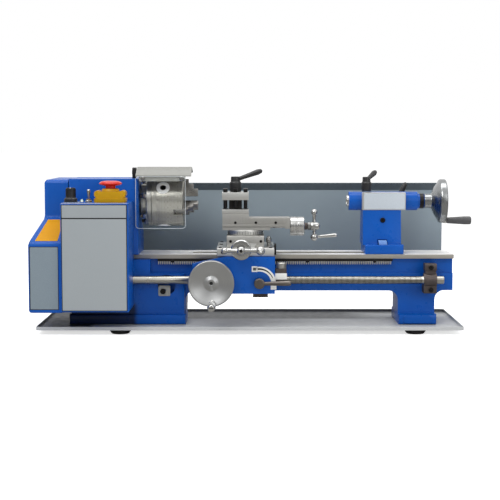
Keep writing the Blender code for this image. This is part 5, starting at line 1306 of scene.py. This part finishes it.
parts = [slab_here(arc_band(20, 28, 100, 4), -0.15, 0.3)]
for u, v, size in ((-8.0, 24.0, 9.6), (24.0, -6.0, 9.6)):
    parts.append(slab_here(rounded((pivot_x + u - size / 2, pivot_x + u + size / 2),
                                   (pivot_z + v - size / 2, pivot_z + v + size / 2), 0.6, 3),
                           -0.15, 0.3))
add_on("half_nut_scale", together(*parts), white_print, "apron")
line = slab_here(arc_band(22.6, 25.6, 96, 22, 24, 0.35), -0.25, -0.1)
add_on("half_nut_scale_line", line, ink, "apron")
open_mark = together(slab_here(rounded((pivot_x - 10.6, pivot_x - 5.4),
                                       (pivot_z + 21.6, pivot_z + 26.4), 0.4, 3), -0.22, -0.1),
                     slab_here(rounded((pivot_x - 8.2, pivot_x - 7.8),
                                       (pivot_z + 20.4, pivot_z + 21.4), 0.1, 2), -0.22, -0.1))
add_on("half_nut_open_mark", open_mark, grip_grey, "apron")

# %% Thread dial
dial_low, dial_high = span("thread_dial")
body = combine(block((dial_low.x, dial_high.x), (dial_low.y, dial_high.y),
                     (dial_low.z, dial_high.z), 2, "Z"),
               cuts=[rod((53, -80, -60), (53, -80, -10), 3.2, 32)])
finish_piece("thread_dial_body", soften(body, 0.5), bracket_steel, "thread_dial")
label = slab(rounded((dial_low.x - 0.2, dial_high.x + 0.2), (-38.5, -28), 0.4, 3), "XZ",
             dial_low.y - 0.5, dial_low.y - 0.1)
add_on("thread_dial_label_blank", label, white_print, "thread_dial")
cap = turned([(0, -10.4), (6.6, -10.4), (8.2, -11.6), (8.2, -20.6), (3, -20.6), (3, -48),
              (0, -48)], (53, -80, 0), UP, 64, 0.5)
finish_piece("thread_dial_cap_turned", cap, slide_steel, "thread_dial_cap")
graduations("thread_dial_knurl", "thread_dial_cap", (53.0, -80.0, -19.8), UP, 8.05, 48,
            (0.8, 0.5, 7.4), finish=slide_steel)
graduations("thread_dial_marks", "thread_dial_cap", (53.0, -80.0, -10.45), UP, 3.4, 8,
            (2.4, 0.4, 0.12), anchor=(0.5, 0.0, 0.0))
print(f"chuck and carriage: {len(made)} pieces so far")

# %% [markdown]
# ## Slides, tool post and their cranks
#
# The cross slide moves the tool in and out, the swivelling base sets an angle and the top slide
# moves along it.  All are ground blocks.  The dials are turned and polished, with graduations
# cut round them, and the cranks are the classic two balls on a bar.

# %% Cross slide, swivel base and top slide
block_steel = ground("block_steel", seen(188, 187, 183), 0.46, (1.0, 1.0, 0.02), 0.0005)
finish_piece("cross_slide_ground", soften(from_cad("cross_slide"), 0.5), block_steel,
             "cross_slide")
finish_piece("swivel_base_ground", soften(from_cad("compound_base"), 0.4), block_steel,
             "compound_base")
top_casting = combine(from_cad("top_slide"), cuts=[block((-60, 60), (-50.6, -49.4), (51.6, 52.2)),
                                                   block((59.6, 75), (-60, 10), (30, 44.6))])
finish_piece("top_slide_ground", soften(top_casting, 0.5, 30, 3), block_steel, "top_slide")
screws("top_slide_gib_screws", "top_slide", black_steel, 2.3, 1.4, 1.2, FRONT,
       [(x, -49.9, 55.0) for x in (-25.0, 10.0, 44.0)])
screws("cross_slide_gib_screws", "cross_slide", black_steel, 2.0, 1.2, 1.0, RIGHT,
       [(24.0, y, 24.5) for y in (-50.0, -15.0, 20.0)])
screws("cross_slide_front_screws", "cross_slide", black_steel, 2.4, 1.2, 1.2, FRONT,
       [(-33.0, -70.0, 24.5), (18.5, -70.0, 24.5)])
ring_x, ring_y, ring_low = -8.0, -27.0, 33.8
flange = turned([(24, 34), (29.6, 34), (30, 34.4), (30, 41.2), (29.4, 41.8), (24, 41.8)],
                (ring_x, ring_y, 0), UP, 128, 0.2)
add_on("swivel_flange", flange, plate_steel, "compound_base")
graduations("swivel_degrees", "compound_base", (ring_x, ring_y, ring_low + 0.9), UP, 30.0, 40,
            (0.9, 0.4, 4.4), 1.2)
stud = turned([(0, 14.5), (3.4, 14.5), (3.4, 19), (5.2, 20.4), (5.2, 26.4), (3.2, 27.6), (3, 30.4),
               (0, 31)], (32.4, -30, 0), UP, 48, 0.6)
add_on("slide_lock_stud", stud, polished, "saddle")


# %% A ball crank
def ball_crank(centre, along, heads, hub, bar, handle):
    """Two balls on a waisted bar with a tapered handle, all turned and polished."""
    centre, along = Vector(centre), Vector(along)
    shapes = []
    for offset, size in heads:
        reach = Vector(offset)
        length = reach.length
        shapes.append(turned([(0, 0), (bar * 1.25, 0), (bar * 1.15, 6), (bar * 0.82, length * 0.5),
                              (bar * 1.05, length - size * 0.7), (0, length)], centre, reach, 48,
                             1.5, 4))
        shapes.append(ball(centre + reach, size))
    shapes.append(turned([(0, -6), (6.6, -6), (7, -4.5), (7.4, 0), (6.6, 5), (5, hub - 1.5),
                          (3.4, hub), (0, hub)], centre, along, 64, 1.2, 4))
    start, way = centre + Vector(handle[0]), Vector(handle[1])
    length = way.length
    shapes.append(turned([(0, 2), (3, 2), (2.7, 9), (2.6, length * 0.45), (3.5, length - 4.5),
                          (2.6, length - 0.6), (0, length)], start, way, 40, 1.5, 4))
    return together(*shapes)


# %% Cross-feed dial and crank
cross_x, cross_z = -14.7, 14.3
cross_steel = lathe_cut("cross_dial_steel", seen(184, 184, 182), 0.2, (cross_x, 0, cross_z), BACK,
                        0.0006, 0.00001, 0.86)
dial = turned([(5, 111.5), (16.2, 111.5), (17, 112.3), (17, 119.4), (16.6, 119.7), (16.6, 120.1),
               (17, 120.4), (17, 126.4), (15.6, 128.2), (5, 128.2)], (cross_x, 0, cross_z), FRONT,
              128, 0.3)
neck = turned([(0, 116), (6.9, 116), (6.9, 136), (0, 136)], (cross_x, 0, cross_z), FRONT, 64, 0.4)
shaft = rod((cross_x, -114, cross_z), (cross_x, 36, cross_z), 4.4, 32)
crank = ball_crank((cross_x, -140.3, cross_z), FRONT, (((-27, 0, 0), 5.5), ((32, 0, 0), 7.5)), 8,
                   3.5, ((32, 0, 0), (0, -42, 0)))
finish_piece("cross_dial_turned", together(dial, neck, shaft), cross_steel, "cross_feed_crank")
add_on("cross_crank_balls", crank, polished, "cross_feed_crank")
graduations("cross_dial_marks", "cross_feed_crank", (cross_x, -119.2, cross_z), BACK, 16.95, 50,
            (0.16, 0.22, 2.4), 1.2)
cap_ring = turned([(0, 147.6), (2.6, 147.6), (2.6, 148.5), (0, 148.5)], (cross_x, 0, cross_z),
                  FRONT, 40, 0.2)
add_on("cross_crank_screw", cap_ring, black_steel, "cross_feed_crank")

# %% Top-slide dial and crank
top_y, top_z = -27.0, 47.7
top_steel = lathe_cut("top_dial_steel", seen(206, 206, 204), 0.2, (0, top_y, top_z), RIGHT, 0.0006,
                      0.00001, 0.86)
dial = turned([(4, 69.1), (15.8, 69.1), (16.4, 69.8), (16.4, 81.4), (15.9, 81.8), (15.9, 82.4),
               (16.4, 82.8), (16.4, 92.6), (15.2, 93.6), (4, 93.6)], (0, top_y, top_z), RIGHT, 128,
              0.3)
shaft = rod((-16, top_y, top_z), (74, top_y, top_z), 3.4, 32)
finish_piece("top_dial_turned", together(dial, shaft), top_steel, "top_slide_crank")
collar = turned([(0, 90), (6.3, 90), (6.3, 98), (5.2, 98.6), (5.2, 100), (0, 100)],
                (0, top_y, top_z), RIGHT, 64, 0.4)
add_on("top_crank_collar", collar, bracket_steel, "top_slide_crank")
nut = turned([(0, 99), (5.4, 99), (6.4, 100), (6.4, 104.6), (5.4, 105.6), (0, 105.6)],
             (0, top_y, top_z), RIGHT, 6, 0)
add_on("top_crank_nut", nut, polished, "top_slide_crank")
crank = ball_crank((111, top_y, top_z), RIGHT, (((0, 0, 24), 5.5), ((0, 0, -19), 6.5)), 10, 3.4,
                   ((0, 0, -19), (40, 0, 3.5)))
add_on("top_crank_balls", crank, polished, "top_slide_crank")
graduations("top_dial_marks", "top_slide_crank", (81.2, top_y, top_z), LEFT, 16.35, 50,
            (0.16, 0.22, 2.4), 1.2)

# %% Four-way tool post
post_x, post_y = -25.0, -27.0
half, core = 22.8, 11.0
low, seat = 70.9, 77.5
lower = combine(block((post_x - half, post_x + half), (post_y - half, post_y + half), (low, seat),
                      0), [block((post_x - core, post_x + core), (post_y - core, post_y + core),
                                 (low + 1, 96)), block((post_x - half, post_x + half),
                                                       (post_y - half, post_y + half),
                                                       (93.5, 106.8))],
                [rod((post_x, post_y, 60), (post_x, post_y, 120), 6, 48)])


def post_finish(face):
    """The clamping slots are blackened, the outside is ground."""
    middle = face.calc_center_median()
    inside = max(abs(middle.x - post_x), abs(middle.y - post_y)) < core + 0.5
    return int(inside and seat - 0.2 < middle.z < 93.7)


finish_piece("tool_post_ground", soften(lower, 0.4, 30, 2), [plate_steel, black_steel],
             "tool_post", pick=post_finish)
places = [(post_x + a, post_y + b) for a in (-17.4, 0.0, 17.4) for b in (-17.4, 0.0, 17.4)
          if (a, b) != (0.0, 0.0)]
bolts = []
for x, y in places:
    bolts.append(turned([(0, 79.2), (2.6, 79.2), (3.2, 80), (3.2, 106), (0, 106)], (x, y, 0), UP,
                        24, 0.3))
    head = slab(rounded((x - 3.6, x + 3.6), (y - 3.6, y + 3.6), 0.8, 2), "XY", 105.5, 112.6)
    bolts.append(soften(head, 0.4, 60, 2))
add_on("tool_clamp_bolts", together(*bolts), black_steel, "tool_post")

# %% Clamp levers with a moulded hub and a metal screw end


def clamp_lever(centre, low, top, radius, arm_end, arm_from):
    """A ratchet lever: a plain hub, a waist and a tapered arm with a rounded tip."""
    cx, cy = centre
    waist = top - 9.5
    hub = turned([(0, low), (radius * 0.9, low), (radius * 0.94, low + 1), (radius, waist - 1.6),
                  (radius * 0.94, waist), (radius * 0.8, waist + 0.6), (radius * 0.76, top),
                  (radius * 0.34, top), (radius * 0.34, top - 1.2), (0, top - 1.2)], (cx, cy, 0),
                 UP, 64, 0.9)
    start, end = Vector((cx, cy, arm_from)), Vector(arm_end)
    length = (end - start).length
    arm = turned([(0, 0), (3.4, 0), (3.6, length * 0.35), (4.9, length - 4), (3.6, length + 3),
                  (0, length + 4.8)], start, end - start, 48, 2.4, 5)
    return together(hub, arm)


finish_piece("tool_clamp_handle", clamp_lever((post_x, post_y), 107.2, 133.3, 10.4,
                                              (post_x + 42, post_y, 142.3), 127.3), lever_black,
             "tool_clamp_lever")
add_on("tool_clamp_screw", turned([(0, 131), (3.2, 131), (3.2, 132.8), (2.6, 133.2), (0, 133.2)],
                                  (post_x, post_y, 0), UP, 40, 0.3), bracket_steel,
       "tool_clamp_lever")
graduations("tool_clamp_ribs", "tool_clamp_lever", (post_x, post_y, 110.4), UP, 9.6, 24,
            (0.9, 1.0, 11.0), finish=lever_black)

# %% [markdown]
# ## Tailstock
#
# The tailstock's casting is painted down to its base.  The quill slides out of its barrel when
# the handwheel turns, a lever on top locks it, and another at the back clamps the tailstock.

# %% Casting, base line, key notch and plate
tail = combine(from_cad("tailstock"), cuts=[block((190, 270), (-50, -44.4), (16, 16.7)),
                                            slab([(221, 14), (238, 14), (236, 25), (219.5, 25)],
                                                 "XZ", -42, -28)])
finish_piece("tailstock_casting", soften(tail, 1.3, 30, 3), blue_enamel, "tailstock")
notch_key = slab([(222.6, 15.4), (236.8, 15.4), (234.8, 23.6), (221, 23.6)], "XZ", -37.5, -31.5)
add_on("tailstock_key", soften(notch_key, 0.5), key_blue, "tailstock")
screws("tailstock_front_screw", "tailstock", black_steel, 4.5, 3.0, 2.3, FRONT,
       [(229.0, -27.6, 58.0)])
add_on("tailstock_plate_back", plate((193.6, 268.6), (75.4, 105.6), 1, "XZ", -27.6, -16.5, 0.4),
       plate_steel, "tailstock")
add_on("tailstock_plate_blank",
       plate((196.6, 267.2), (76.8, 104.2), 0.8, "XZ", -28.1, -27.5, 0.15), tail_plate,
       "tailstock")
collar = turned([(5.2, 294.6), (12.4, 294.6), (13.15, 295.4), (13.15, 302.4), (12.4, 303.3),
                 (5.2, 303.3)], axis, RIGHT, 96, 0.3)
add_on("barrel_collar", collar, black_steel, "tailstock")
screws("barrel_collar_screw", "tailstock", black_steel, 1.8, 0.8, 0.9, FRONT,
       [(299.0, -12.9, CENTRE)])

# %% Quill
quill_low, quill_high = span("quill")
quill_shape = turned([(6.5, quill_low.x + 0.2), (9.2, quill_low.x), (10, quill_low.x + 0.8),
                      (10, quill_high.x), (5.2, quill_high.x), (5.2, quill_low.x + 52),
                      (5.2, quill_low.x + 45)], axis, RIGHT, 96, 0.2)
quill_steel = lathe_cut("quill_steel", seen(196, 195, 191), 0.2, axis, RIGHT, 0.0009, 0.000002,
                        0.92)
finish_piece("quill_ground", quill_shape, quill_steel, "quill")

# %% Tailstock handwheel
wheel = turned([(0, 337.2), (4, 337.2), (5.6, 336.4), (9, 335.6), (12, 332.6), (25, 332),
                (29, 334.6), (31, 339.6), (33, 341), (36.4, 341), (38, 339.2), (38, 331.2),
                (36.8, 328.8), (33, 327.4), (24, 321), (14.2, 317), (12.4, 315.6), (12, 304),
                (10, 303.6), (5, 303.6), (5, 230), (0, 230)], axis, RIGHT, 128, 1, 4)
tail_steel = lathe_cut("tail_wheel_steel", seen(152, 154, 155), 0.24, axis, RIGHT, 0.0009,
                       0.0000002, 0.95)
finish_piece("tail_wheel_turned", wheel, tail_steel, "tailstock_handwheel")
grip_z = CENTRE - 34.0
grip = turned([(0, 386), (6, 386), (7.1, 383.6), (7.1, 374), (6, 358), (5.3, 345), (4.6, 343.4),
               (0, 343.4)], (0, 0, grip_z), RIGHT, 64, 1.2, 4)
add_on("tail_wheel_grip", grip, grip_grey, "tailstock_handwheel")
pin = turned([(0, 335), (4, 335), (5.2, 341.2), (5.2, 342.6), (3.4, 343.6), (0, 343.6)],
             (0, 0, grip_z), RIGHT, 48, 0.4)
add_on("tail_wheel_pin", pin, polished, "tailstock_handwheel")
hub_nut = turned([(0, 335), (6, 335), (6, 338.6), (5, 339.4), (0, 339.4)], axis, RIGHT, 6, 0)
add_on("tail_wheel_nut", hub_nut, polished, "tailstock_handwheel")

# %% Quill lock and tailstock clamp
finish_piece("quill_lock_handle", clamp_lever((203, 0), 107.1, 132, 9, (220, 28, 139), 126),
             lever_black, "quill_lock_lever")
graduations("quill_lock_ribs", "quill_lock_lever", (203.0, 0.0, 110.2), UP, 8.3, 20,
            (0.9, 1.0, 10.0), finish=lever_black)
boss = rod((228, 46.4, 15), (228, 55, 15), 8.5, 64, None, 1)
start, end = Vector((228.0, 51.0, 15.0)), Vector((276.0, 51.0, 117.0))
length = (end - start).length
arm = turned([(0, 0), (3.6, 0), (3.4, 20), (3.8, length * 0.6), (4.9, length - 8),
              (3.8, length + 2), (0, length + 4.6)], start, end - start, 48, 2.4, 5)
inner_pin = rod((228, 27, 15), (228, 48, 15), 3.9, 32)
finish_piece("tail_clamp_handle", together(boss, arm, inner_pin), lever_black,
             "tailstock_clamp_lever")
screws("tail_clamp_screw", "tailstock_clamp_lever", bracket_steel, 4.0, 1.6, 2.0, BACK,
       [(228.0, 54.6, 15.0)])
print(f"slides and tailstock: {len(made)} pieces so far")


# %% [markdown]
# ## The finished pieces
#
# Nothing here may change the machine's size.  The finished pieces are counted, with their faces.

# %% Pieces and faces, and done
print(f"{len(made)} pieces,", sum(len(piece.data.polygons) for piece in made), "faces")
